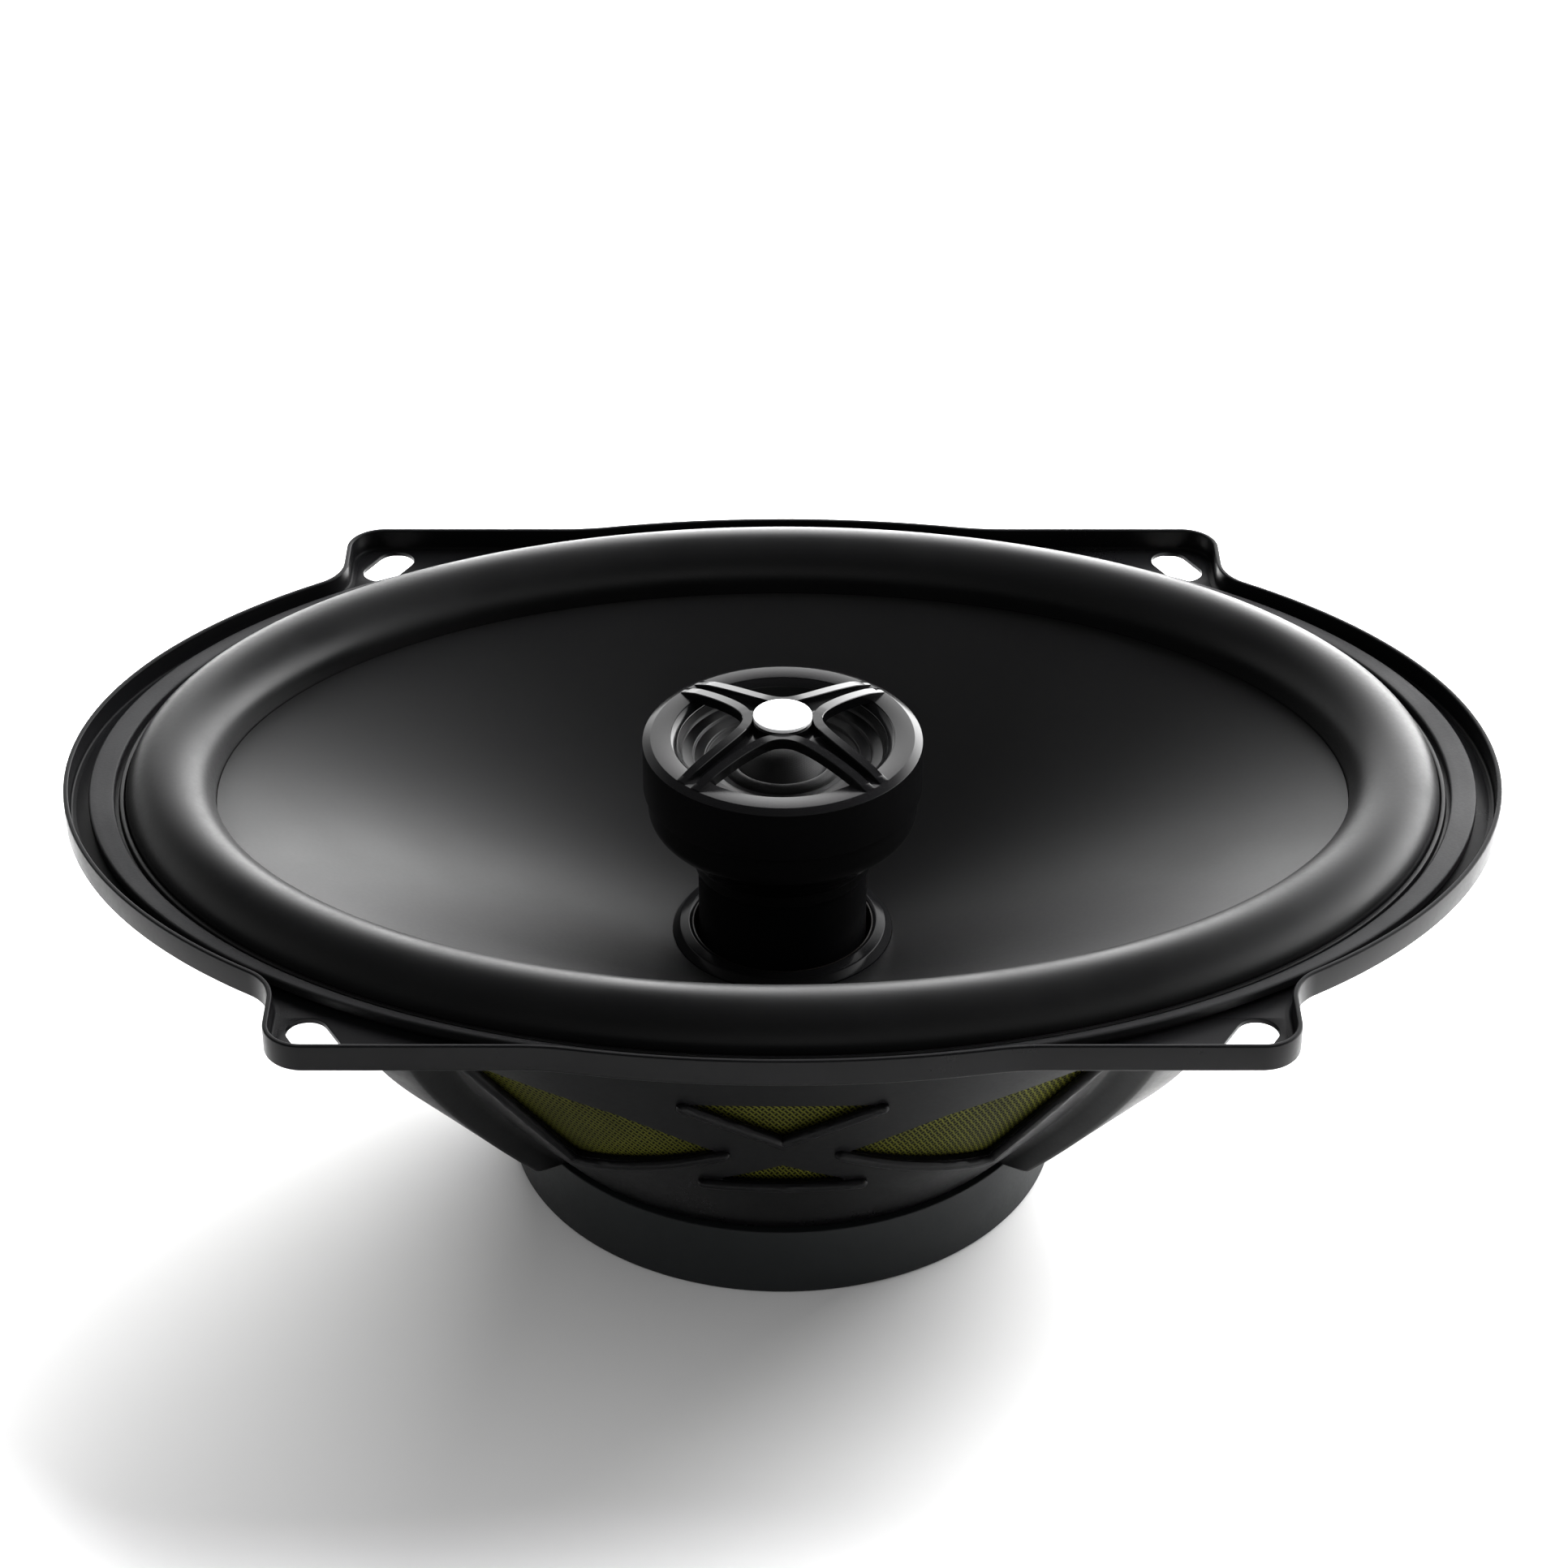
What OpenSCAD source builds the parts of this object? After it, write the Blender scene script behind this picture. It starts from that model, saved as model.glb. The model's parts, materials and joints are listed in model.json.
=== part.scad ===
// Coaxial car speaker: oval woofer with a post-mounted dome tweeter.
// Origin: centre of the flange's rear face, on the speaker's axis. +Z points to the listener, X is the
// oval's long axis. Millimetres.

/* [Flange and ears] */
// Half length of the oval rim
rim_a = 102.2; // [101.8:0.1:103]
// Half width of the oval rim
rim_b = 71.2; // [71:0.1:72]
// From the long axis to an ear's straight edge
ear_edge = 67.95; // [67.8:0.05:68.5]
// From the short axis to an ear's outer side
ear_side = 67.7; // [67:0.1:69]
// Radius of an ear's outer corner
ear_corner = 5.5; // [4:0.1:7]
// Radius of the fillet between an ear and the oval's end
ear_fillet = 7; // [5:0.1:9]
// Radius that blends an ear's straight edge into the oval's side
ear_blend = 40; // [20:1:50]
// Thickness of the pressed sheet
sheet = 0.8; // [0.7:0.1:0.9]
// Height of the rim lip above the rear face
lip_h = 4.1; // [3.5:0.1:5]
// Thickness of the rim lip
lip_t = 0.75; // [0.6:0.05:0.9]

/* [Mounting slots] */
// From the short axis to a slot's centre
slot_x = 61.3; // [61:0.1:61.6]
// From the long axis to a slot's centre
slot_y = 61.8; // [61:0.1:62]
// Width of a slot
slot_w = 5.6; // [5:0.1:6]
// Length of a slot over its round ends
slot_len = 9.6; // [8:0.1:10]
// Angle between a slot and the long axis
slot_angle = 61; // [55:1:65]

/* [Bowl] */
// Half length of the bowl's mouth
bowl_a = 84; // [83.5:0.1:84.5]
// Half width of the bowl's mouth
bowl_b = 58; // [57.5:0.1:58.5]
// Squareness of the bowl's mouth: 2 is an ellipse
bowl_square = 2.6; // [2.4:0.1:2.8]
// Radius of the bowl's round floor
floor_r = 39.5; // [39:0.1:40]
// From the flange's rear face down to the bowl floor's underside
bowl_depth = 48.8; // [48.8:0.1:49]
// Depth of the straight wall under the mouth, before the bowl tapers
bowl_straight = 4.5; // [4.2:0.1:5]
// Thickness of the bowl's wall
wall_t = 1; // [0.8:0.1:1.2]
// How far a corner arm stands out of the bowl
arm_out = 5; // [4:0.1:6]

/* [Cone and surround] */
// Half length of the roll's crest line
roll_a = 87.2; // [87.1:0.1:87.3]
// Half width of the roll's crest line
roll_b = 60.9; // [60.8:0.1:61]
// Half width of the roll
roll_r = 6.35; // [6.2:0.05:6.4]
// Height of the roll's crest above the rear face
roll_top = 7.4; // [7:0.1:8]
// Thickness of the rubber
rubber = 0.7; // [0.5:0.1:0.8]
// Height of the cone's edge
cone_edge_z = 0.2; // [0:0.1:0.3]
// Depth of the cone's neck below the rear face
neck_depth = 24.4; // [24:0.1:24.6]
// Outer radius of the collar in the neck
collar_r = 16; // [15.8:0.1:16.2]
// Height of the collar's inner edge, below the rear face
collar_depth = 22.9; // [22.5:0.1:23.2]

/* [Voice coil and motor] */
// Inner radius of the voice coil former
former_r = 13; // [12.9:0.05:13.05]
// Outer radius of the voice coil winding
winding_r = 13.9; // [13.8:0.05:14]
// Radius of the hole in the top plate
gap_r = 14.4; // [14.3:0.05:14.6]
// Radius of the two steel plates
plate_r = 37; // [35:0.5:38]
// Radius of the magnet
magnet_r = 38.6; // [38:0.1:38.6]
// Outer radius of the magnet cover
cover_r = 40.5; // [40.5:0.1:41]
// Depth of the cover's rear face below the flange
cover_depth = 60; // [60:0.1:60.4]

/* [Tweeter] */
// Radius of the post and of the pole piece
post_r = 12.2; // [12:0.05:12.4]
// Outer radius of the bezel
bezel_r = 19.95; // [19.8:0.05:20.1]
// Height of the bezel's flat ring
bezel_top = 8.6; // [8.4:0.1:8.8]
// Inner radius of the bezel's ring
mouth_r = 15.96; // [15.8:0.02:16]
// Half width of an arm of the grille
grille_arm = 1.9; // [1.6:0.1:2.4]
// Radius of the badge
badge_r = 4.2; // [3.8:0.1:4.4]
// Radius of the dome
dome_r = 6.45; // [6.4:0.05:6.5]
// Height of the dome over its edge
dome_h = 2.7; // [2.4:0.1:3]

/* [Terminals] */
// Width of the positive blade
blade_wide = 6.3; // [6.3:0.1:6.4]
// Width of the negative blade
blade_narrow = 4.8; // [4.7:0.1:4.9]
// How far the blades stand out of the board
blade_out = 8.5; // [7:0.5:9]

/* [Hidden] */
$fn = 96;

// Through cuts run past their solid by this much
past = 1;
// Gap between two pieces that are glued or pressed together
seam = 0.05;

// Motor heights, from the bowl's floor down
floor_z = -bowl_depth;
top_plate_t = 3;
magnet_t = 4.8;
top_plate_z = floor_z - top_plate_t;
magnet_z = top_plate_z - magnet_t;
cover_t = 0.6;
yoke_z = -cover_depth + cover_t;
pole_top = -46.9;
coil_bottom = -53.4;
coil_h = 6;

// Rivets that hold the bowl's floor to the top plate
rivet_circle = 28;
rivet_r = 1.6;

// Hollow of the post, the wire hole beside its bolt, and the wires
post_hollow_r = 9.8;
post_base_top = -37;
wire_hole_x = 6.6;
wire_hole_r = 2.4;
bolt_r = 2;
wire_r = 0.6;

// Windows of the bowl as [along the wall, height]: a crossing of bars between four openings
window_side = [[8.5, -29.4], [22.5, -21.2], [43, -12.5], [28.8, -37]];
window_top = [[-14.2, -17.2], [14.2, -17.2], [0, -25.6]];
window_foot = [[-10.6, -36.9], [10.6, -36.9], [0, -32.2]];
window_end = [[8, -13.5], [36, -13.5], [18, -37], [8, -37]];
window_corner = 0.6;

// Tweeter heights
housing_top = 0.4;
housing_floor = -4.6;
dome_z = 4.05;
ledge_z = 3.9;
cup_top = 2.15;
cup_r = 12.5;

// Terminal board: its middle lies on the outside of the bowl's end wall
board_drop = 24;
board_x = bowl_a + (floor_r - bowl_a) * (board_drop - bowl_straight) / (bowl_depth - bowl_straight);
board_tilt = atan2(bowl_depth - bowl_straight, floor_r - bowl_a);
board_t = 2;
pad_top = 1;
blade_y = 5.5;
blade_t = 0.8;

// ---------- Curves ----------

function oval(a, b, t) = [a * cos(t), b * sin(t)];

// Outward direction of the oval at t
function oval_out(a, b, t) = let (n = [b * cos(t), a * sin(t)]) n / norm(n);

// Point that lies a distance d outside the oval
function beside(a, b, t, d) = oval(a, b, t) + d * oval_out(a, b, t);

// Angle at which beside() reaches goal along axis k (0 is X, 1 is Y), by halving
function angle_at(a, b, d, k, goal, lo, hi, n = 30) =
    let (mid = (lo + hi) / 2, v = beside(a, b, mid, d)[k])
    n == 0 ? mid
    : (k == 0 ? v > goal : v < goal) ? angle_at(a, b, d, k, goal, mid, hi, n - 1)
    : angle_at(a, b, d, k, goal, lo, mid, n - 1);

// Points of an arc after its first one
function arc(c, r, from, to, n) =
    [for (i = [1:n]) let (w = from + (to - from) * i / n) c + r * [cos(w), sin(w)]];

// Whole outline from its first quarter, which runs from the X axis to the Y axis
function all_round(q) = let (n = len(q)) concat(
    q,
    [for (i = [n - 2:-1:0]) [-q[i].x, q[i].y]],
    [for (i = [1:n - 1]) [-q[i].x, -q[i].y]],
    [for (i = [n - 2:-1:1]) [q[i].x, -q[i].y]]
);

// Quarter of an oval, moved outward by d
function oval_quarter(a, b, d, n) = [for (i = [0:n]) beside(a, b, 90 * i / n, d)];

// Flange outline: an oval with four ears, drawn d inside its edge
fillet_t = angle_at(rim_a, rim_b, ear_fillet, 0, ear_side + ear_fillet, 10, 80);
blend_t = angle_at(rim_a, rim_b, ear_blend, 1, ear_edge + ear_blend, 45, 90);
function heading(v) = atan2(v.y, v.x);
function rim_quarter(d) = concat(
    [for (i = [0:16]) beside(rim_a, rim_b, fillet_t * i / 16, -d)],
    arc(beside(rim_a, rim_b, fillet_t, ear_fillet), ear_fillet + d,
        heading(oval_out(rim_a, rim_b, fillet_t)) + 180, 180, 7),
    [[ear_side - d, ear_edge - ear_corner]],
    arc([ear_side - ear_corner, ear_edge - ear_corner], ear_corner - d, 0, 90, 8),
    [[beside(rim_a, rim_b, blend_t, ear_blend).x, ear_edge - d]],
    arc(beside(rim_a, rim_b, blend_t, ear_blend), ear_blend + d,
        270, heading(oval_out(rim_a, rim_b, blend_t)) + 180, 5),
    [for (i = [1:5]) beside(rim_a, rim_b, blend_t + (90 - blend_t) * i / 5, -d)]
);

// Bowl section at depth share s (0 at the mouth, 1 at the floor), moved outward by d. Each quarter has
// one corner arm, whose two sides rise between neighbouring stations.
arm_mid = [59, 32.6];
arm_half = [2.2, 4.6];
arm_side = [1.6, 1.8];
function between(pair, s) = pair[0] + (pair[1] - pair[0]) * s;
function bowl_stations(s) =
    let (m = between(arm_mid, s), h = between(arm_half, s), e = between(arm_side, s))
    concat(
        [for (i = [0:8]) [(m - h - e) * i / 8, 0]],
        [[m - h, 1], [m, 1], [m + h, 1]],
        [for (i = [0:8]) [m + h + e + (90 - m - h - e) * i / 8, 0]]
    );
function bowl_point(t, s, d) =
    let (
        p = 2 / between([bowl_square, 2], s),
        x = between([bowl_a, floor_r], s) * pow(max(0, cos(t)), p),
        y = between([bowl_b, floor_r], s) * pow(max(0, sin(t)), p),
        v = [x, y]
    )
    v + d * v / norm(v);
function bowl_quarter(s, d) =
    [for (k = bowl_stations(s)) bowl_point(k[0], s, d + k[1] * arm_out)];
function bowl_share(z) = min(1, max(0, (-z - bowl_straight) / (bowl_depth - bowl_straight)));
function bowl_ring(z, d) = raised(all_round(bowl_quarter(bowl_share(z), d)), z);

function raised(outline, z) = [for (p = outline) [p.x, p.y, z]];

// Cone section at share s from its edge, which follows the roll, to its round neck; z follows a slight
// flare
cone_flare = 1.15;
function cone_quarter(s) =
    [for (i = [0:20]) (1 - s) * beside(roll_a, roll_b, 4.5 * i, -roll_r - 0.1)
                      + s * oval(collar_r + seam, collar_r + seam, 4.5 * i)];
function cone_ring(s, z_off) =
    raised(all_round(cone_quarter(s)), cone_edge_z - (neck_depth + cone_edge_z) * pow(s, cone_flare) + z_off);

// Point and direction on the terminal board, from its own x (down the wall), y and z (outward)
function board_point(p) = [
    board_x + p.x * cos(board_tilt) + p.z * sin(board_tilt),
    p.y,
    -board_drop - p.x * sin(board_tilt) + p.z * cos(board_tilt)
];

// ---------- Building blocks ----------

// Closed wall from a loop of rings: down its outside, then up its inside
module ring_shell(rings) {
    n = len(rings[0]);
    m = len(rings);
    polyhedron(
        [for (r = rings) each r],
        [for (i = [0:m - 1]) for (j = [0:n - 1])
            let (i2 = (i + 1) % m, j2 = (j + 1) % n) [i * n + j, i * n + j2, i2 * n + j2, i2 * n + j]],
        convexity = 8
    );
}

// Round wire through points that never run straight along Y
module wire(points, r) {
    n = len(points);
    k = 8;
    ahead = [for (i = [0:n - 1])
        let (v = points[min(n - 1, i + 1)] - points[max(0, i - 1)]) v / norm(v)];
    polyhedron(
        [for (i = [0:n - 1])
            let (u = cross(ahead[i], [0, 1, 0]), nrm = u / norm(u), bi = cross(ahead[i], nrm))
            for (j = [0:k - 1]) points[i] + r * (cos(360 * j / k) * nrm + sin(360 * j / k) * bi)],
        concat(
            [[for (j = [0:k - 1]) j]],
            [for (i = [0:n - 2]) for (j = [0:k - 1])
                let (j2 = (j + 1) % k) [i * k + j, (i + 1) * k + j, (i + 1) * k + j2, i * k + j2]],
            [[for (j = [k - 1:-1:0]) (n - 1) * k + j]]
        ),
        convexity = 8
    );
}

// Flat ring or tube between two radii
module tube(z, h, outer, inner) {
    translate([0, 0, z])
    difference() {
        cylinder(r = outer, h = h);
        translate([0, 0, -past]) cylinder(r = inner, h = h + 2 * past);
    }
}

module on_corners(x, y) {
    for (sx = [-1, 1]) for (sy = [-1, 1])
        scale_sign(sx, sy) translate([x, y, 0]) children();
}

module scale_sign(sx, sy) {
    mirror([sx < 0 ? 1 : 0, 0, 0])
    mirror([0, sy < 0 ? 1 : 0, 0])
    children();
}

module at_rivets() {
    for (w = [45:90:315]) rotate(w) translate([rivet_circle, 0, 0]) children();
}

module on_board() {
    translate([board_x, 0, -board_drop]) rotate([0, board_tilt, 0]) children();
}

// ---------- Basket ----------

module slot_cut() {
    reach = (slot_len - slot_w) / 2;
    translate([0, 0, -past])
    rotate(180 - slot_angle)
    union() {
        translate([-reach, -slot_w / 2, 0]) cube([2 * reach, slot_w, sheet + 2 * past]);
        for (e = [-1, 1]) translate([e * reach, 0, 0]) cylinder(r = slot_w / 2, h = sheet + 2 * past);
    }
}

module window(outline, reach) {
    rotate([90, 0, 0])
    translate([0, 0, -reach])
    linear_extrude(2 * reach) offset(r = window_corner) offset(delta = -window_corner) polygon(outline);
}

module bowl_windows() {
    for (m = [0, 1]) mirror([m, 0, 0]) window(window_side, 90);
    window(window_top, 90);
    window(window_foot, 90);
    for (m = [0, 1]) mirror([0, m, 0]) rotate(90) window(window_end, 110);
}

module bowl_wall() {
    levels = [sheet, -bowl_straight, -8, -12.5, -18, -24, -30, -37, -43, floor_z];
    ring_shell(concat(
        [for (z = levels) bowl_ring(z, 0)],
        [for (i = [len(levels) - 1:-1:0]) bowl_ring(levels[i], -wall_t)]
    ));
}

module basket() {
    color([0.05, 0.05, 0.055])
    difference() {
        union() {
            difference() {
                linear_extrude(sheet) polygon(all_round(rim_quarter(0)));
                translate([0, 0, -past]) linear_extrude(sheet + 2 * past)
                    polygon(all_round(bowl_quarter(0, -wall_t / 2)));
                on_corners(slot_x, slot_y) slot_cut();
            }
            difference() {
                linear_extrude(lip_h) polygon(all_round(rim_quarter(0)));
                translate([0, 0, -past]) linear_extrude(lip_h + 2 * past)
                    polygon(all_round(rim_quarter(lip_t)));
            }
            difference() {
                bowl_wall();
                bowl_windows();
            }
            translate([0, 0, floor_z]) linear_extrude(sheet)
                polygon(all_round(bowl_quarter(1, -wall_t / 2)));
            // pad for the terminal board
            on_board() translate([-10, -13, -2.4]) cube([20, 26, 2.4 + pad_top]);
        }
        translate([0, 0, floor_z - past]) cylinder(r = 20, h = sheet + 2 * past);
        translate([0, 0, floor_z - past]) at_rivets() cylinder(r = rivet_r + seam, h = sheet + 2 * past);
        on_board() translate([-4, -8.5, -8]) cube([8, 17, 16]);
        on_board() for (s = [-1, 1]) translate([0, s * 10.7, -8]) cylinder(r = 1.35, h = 16);
    }
}

module basket_rivets() {
    color([0.55, 0.56, 0.58])
    at_rivets() {
        translate([0, 0, top_plate_z + 0.1]) cylinder(r = rivet_r, h = -top_plate_z + floor_z + sheet - 0.05);
        translate([0, 0, floor_z + sheet + seam]) cylinder(r1 = 2.9, r2 = 1.9, h = 1.4);
    }
}

module gasket_ring() {
    color([0.09, 0.09, 0.095])
    translate([0, 0, sheet + rubber])
    difference() {
        linear_extrude(1.3) polygon(all_round(oval_quarter(98.7, 69.8, 0, 30)));
        translate([0, 0, -past]) linear_extrude(1.3 + 2 * past)
            polygon(all_round(oval_quarter(roll_a, roll_b, 7.8, 30)));
    }
}

module dust_screen() {
    levels = [-9.5, -16, -24, -32, -39.5];
    clear = wall_t + 0.3;
    color([0.32, 0.32, 0.1])
    difference() {
        ring_shell(concat(
            [for (z = levels) bowl_ring(z, -clear)],
            [for (i = [len(levels) - 1:-1:0]) bowl_ring(levels[i], -clear - 0.4)]
        ));
        on_board() translate([-11, -14, -8]) cube([22, 28, 14]);
    }
}

// ---------- Moving cone assembly ----------

// Half roll in section, clockwise from its outer foot: [out from the crest line, height]
module surround() {
    base = sheet + seam;
    foot = base + rubber - seam;
    rise = roll_top - foot;
    inner = roll_r - rubber;
    tuck = cone_edge_z - 2.1;
    steps = 9;
    profile = concat(
        [[-roll_r + 0.02, foot]],
        [for (i = [1:steps - 1]) let (w = 180 - 180 * i / steps) [roll_r * cos(w), foot + rise * sin(w)]],
        [[roll_r, foot], [roll_r + 0.1, foot + 0.8], [roll_r + 0.75, foot + 0.8], [roll_r + 0.9, foot]],
        [[9, foot - seam], [9, base], [inner, base]],
        [for (i = [1:steps - 1]) let (w = 180 * i / steps)
            [inner * cos(w), base + (rise - rubber) * sin(w) + 0.4]],
        [[-inner, base], [-inner, tuck - rubber], [-roll_r - 1.6, tuck - rubber], [-roll_r - 1.6, tuck],
         [-roll_r, tuck]]
    );
    color([0.035, 0.035, 0.04])
    ring_shell([for (p = profile) raised(all_round(oval_quarter(roll_a, roll_b, p[0], 20)), p[1])]);
}

module cone() {
    steps = 7;
    paper = 0.9;
    color([0.06, 0.06, 0.065])
    ring_shell(concat(
        [for (i = [steps:-1:0]) cone_ring(i / steps, 0)],
        [for (i = [0:steps]) cone_ring(i / steps, -paper)]
    ));
}

module cone_collar() {
    lower = -neck_depth - 1.6;
    color([0.04, 0.04, 0.045])
    rotate_extrude()
    polygon([
        [former_r + 0.25, lower], [collar_r - 0.1, lower], [collar_r, lower + 0.4],
        [collar_r, -neck_depth + 0.1], [14.9, -collar_depth - 0.3], [13.5, -collar_depth],
        [former_r + 0.25, -collar_depth - 0.1]
    ]);
}

module voice_coil_former() {
    color([0.75, 0.6, 0.35])
    tube(coil_bottom, -collar_depth - 0.3 - coil_bottom, former_r + 0.2, former_r);
}

module voice_coil_winding() {
    color([0.72, 0.35, 0.15])
    tube(coil_bottom + 0.1, coil_h, winding_r, former_r + 0.22);
}

// Corrugated disc: rings of waves between the former and the ring it is glued to
module spider() {
    inner = former_r + 0.3;
    cuff = 14.2;
    outer = 33.5;
    rim = 37.2;
    mid_z = -38.3;
    cloth = 0.4;
    waves = 6;
    steps = 48;
    wave = [for (i = [0:steps])
        [cuff + (outer - cuff) * i / steps, mid_z + 0.9 * sin(360 * waves * i / steps)]];
    color([0.7, 0.55, 0.2])
    rotate_extrude()
    polygon(concat(
        [[inner, mid_z + 2.4]],
        [[inner + 0.5, mid_z + 2.4]],
        [for (p = wave) [p.x, p.y + cloth]],
        [[rim, mid_z + cloth], [rim, mid_z]],
        [for (i = [steps:-1:0]) wave[i]],
        [[inner, mid_z]]
    ));
}

module spider_ring() {
    color([0.12, 0.12, 0.13])
    tube(floor_z + sheet + seam, -38.35 - (floor_z + sheet + seam), 37.4, 33.8);
}

// ---------- Motor ----------

module top_plate() {
    color([0.5, 0.51, 0.53])
    difference() {
        tube(top_plate_z + seam, top_plate_t - 2 * seam, plate_r, gap_r);
        translate([0, 0, top_plate_z - past]) at_rivets()
            cylinder(r = rivet_r + seam, h = top_plate_t + 2 * past);
    }
}

module magnet() {
    color([0.13, 0.13, 0.14])
    tube(magnet_z, magnet_t, magnet_r, 19);
}

module yoke() {
    plate_t = magnet_z - yoke_z;
    color([0.5, 0.51, 0.53])
    difference() {
        union() {
            translate([0, 0, yoke_z + seam]) cylinder(r = plate_r, h = plate_t - 2 * seam);
            translate([0, 0, yoke_z + seam]) cylinder(r = post_r, h = pole_top - yoke_z - seam);
        }
        translate([0, 0, yoke_z - past]) cylinder(r = bolt_r + seam, h = 20);
        translate([0, 0, yoke_z - past]) cylinder(r = 3.9, h = 2.2 + past);
        translate([wire_hole_x, 0, yoke_z - past]) cylinder(r = wire_hole_r, h = 20);
        // groove that leads the tweeter's wires out to the edge
        translate([wire_hole_x, -2, yoke_z - past]) cube([plate_r, 4, 1.5 + past]);
    }
}

module magnet_cover() {
    fillet = 0.5;
    top = floor_z - 0.15;
    inner = cover_r - cover_t;
    color([0.11, 0.125, 0.13])
    difference() {
        rotate_extrude()
        polygon(concat(
            [[0, -cover_depth], [cover_r - fillet, -cover_depth]],
            arc([cover_r - fillet, -cover_depth + fillet], fillet, -90, 0, 6),
            [[cover_r, top], [inner, top], [inner, yoke_z - seam], [0, yoke_z - seam]]
        ));
        // notch where the tweeter's wires leave
        translate([cover_r - 3, -2.3, top - 2.4]) cube([6, 4.6, 6]);
    }
}

// ---------- Tweeter ----------

module tweeter_post() {
    color([0.035, 0.035, 0.04])
    difference() {
        translate([0, 0, pole_top + seam]) cylinder(r = post_r, h = housing_floor - 2 - pole_top - 2 * seam);
        translate([0, 0, post_base_top]) cylinder(r = post_hollow_r, h = 40);
        translate([0, 0, pole_top - past]) cylinder(r = bolt_r + seam, h = 20);
        translate([wire_hole_x, 0, pole_top - past]) cylinder(r = wire_hole_r, h = 20);
    }
}

module post_bolt() {
    color([0.6, 0.6, 0.62])
    union() {
        translate([0, 0, yoke_z + 0.1]) cylinder(r = 3.6, h = 2);
        translate([0, 0, yoke_z + 0.1]) cylinder(r = bolt_r, h = post_base_top + 3.7 - yoke_z);
    }
}

module post_nut() {
    color([0.62, 0.6, 0.5])
    translate([0, 0, post_base_top + seam])
    difference() {
        cylinder(r = 7 / sqrt(3), h = 3.2, $fn = 6);
        translate([0, 0, -past]) cylinder(r = bolt_r + seam, h = 3.2 + 2 * past);
    }
}

module crossover_capacitor() {
    color([0.1, 0.14, 0.3])
    union() {
        translate([0, 0, -29]) cylinder(r = 4.5, h = 18);
        translate([0, 0, -31.5]) cylinder(r = 0.4, h = 3);
        translate([0, 0, -12]) cylinder(r = 0.4, h = 7.2);
    }
}

module tweeter_housing() {
    round_r = 4;
    side = 19.3;
    below = housing_floor - 3.9;
    color([0.03, 0.03, 0.035])
    rotate_extrude()
    polygon(concat(
        [[17.7, housing_top - seam], [17.7, housing_floor], [3.2, housing_floor]],
        [[3.2, housing_floor - 2], [post_r + seam, housing_floor - 2], [post_r + seam, below - 4]],
        [[post_r + 0.5, below - 4], [post_r + 0.7, below - 2]],
        [for (i = [6:-1:1]) [side - round_r, below + round_r]
            + round_r * [cos(-90 + 15 * (6 - i)), sin(-90 + 15 * (6 - i))]],
        [[side, below + round_r], [side, housing_top - seam]]
    ));
}

module tweeter_bezel() {
    color([0.03, 0.03, 0.035])
    rotate_extrude()
    polygon([
        [17.6, housing_top], [bezel_r, housing_top], [bezel_r, bezel_top - 0.6], [18.8, bezel_top],
        [mouth_r, bezel_top], [mouth_r, 7.15], [17.6, 7.15]
    ]);
}

// Height of the grille's top face at radius r: an arch with a flat hub
function arch(r) = min(11.6, 9 + 2.9 * (1 - pow(r / 18.8, 2)));

module tweeter_grille() {
    steps = 14;
    reach = 18.8;
    thick = 1.6;
    bend = 3;
    shift = grille_arm * sqrt(2);
    color([0.045, 0.045, 0.05])
    intersection() {
        rotate_extrude()
        polygon(concat(
            [for (i = [0:steps]) let (r = reach * i / steps) [r, arch(r)]],
            [[reach, bezel_top + 0.02], [mouth_r - 0.1, bezel_top + 0.02]],
            [for (i = [steps - 2:-1:0]) let (r = (mouth_r - 0.3) * i / (steps - 2)) [r, arch(r) - thick]]
        ));
        difference() {
            translate([0, 0, 5]) cylinder(r = reach, h = 10);
            for (w = [0:90:270]) rotate(w) translate([0, 0, 4]) linear_extrude(12)
                polygon(concat(
                    [for (y = [-20, -14, -10, -7, -4.5, -2, 0, 2, 4.5, 7, 10, 14, 20])
                        [shift + sqrt(y * y + bend * bend), y]],
                    [[40, 20], [40, -20]]
                ));
        }
    }
}

module badge() {
    color([0.9, 0.9, 0.9])
    translate([0, 0, 11.62])
    union() {
        cylinder(r = badge_r, h = 0.4);
        translate([0, 0, 0.4]) cylinder(r1 = badge_r, r2 = badge_r - 0.25, h = 0.2);
    }
}

module tweeter_waveguide() {
    steps = 3;
    color([0.03, 0.03, 0.035])
    rotate_extrude()
    polygon(concat(
        [[7.4, cup_top + seam], [17.5, cup_top + seam], [17.5, 7.1], [15.9, 7.1]],
        [for (i = [0:steps - 1]) each [
            [14.5 - 1.7 * i, 6.5 - 0.65 * i], [14.3 - 1.7 * i, 6.1 - 0.65 * i]]],
        [[9.7, 4.5], [9.7, ledge_z], [7.4, ledge_z]]
    ));
}

module tweeter_dome() {
    ball = (dome_r * dome_r + dome_h * dome_h) / (2 * dome_h);
    spread = asin(dome_r / ball);
    skin = 0.25;
    n = 10;
    color([0.05, 0.05, 0.055])
    translate([0, 0, dome_z + dome_h - ball])
    rotate_extrude()
    polygon(concat(
        [for (i = [0:n]) let (w = spread * i / n) ball * [sin(w), cos(w)]],
        [for (i = [n:-1:0]) let (w = spread * i / n) (ball - skin) * [sin(w), cos(w)]]
    ));
}

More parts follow.
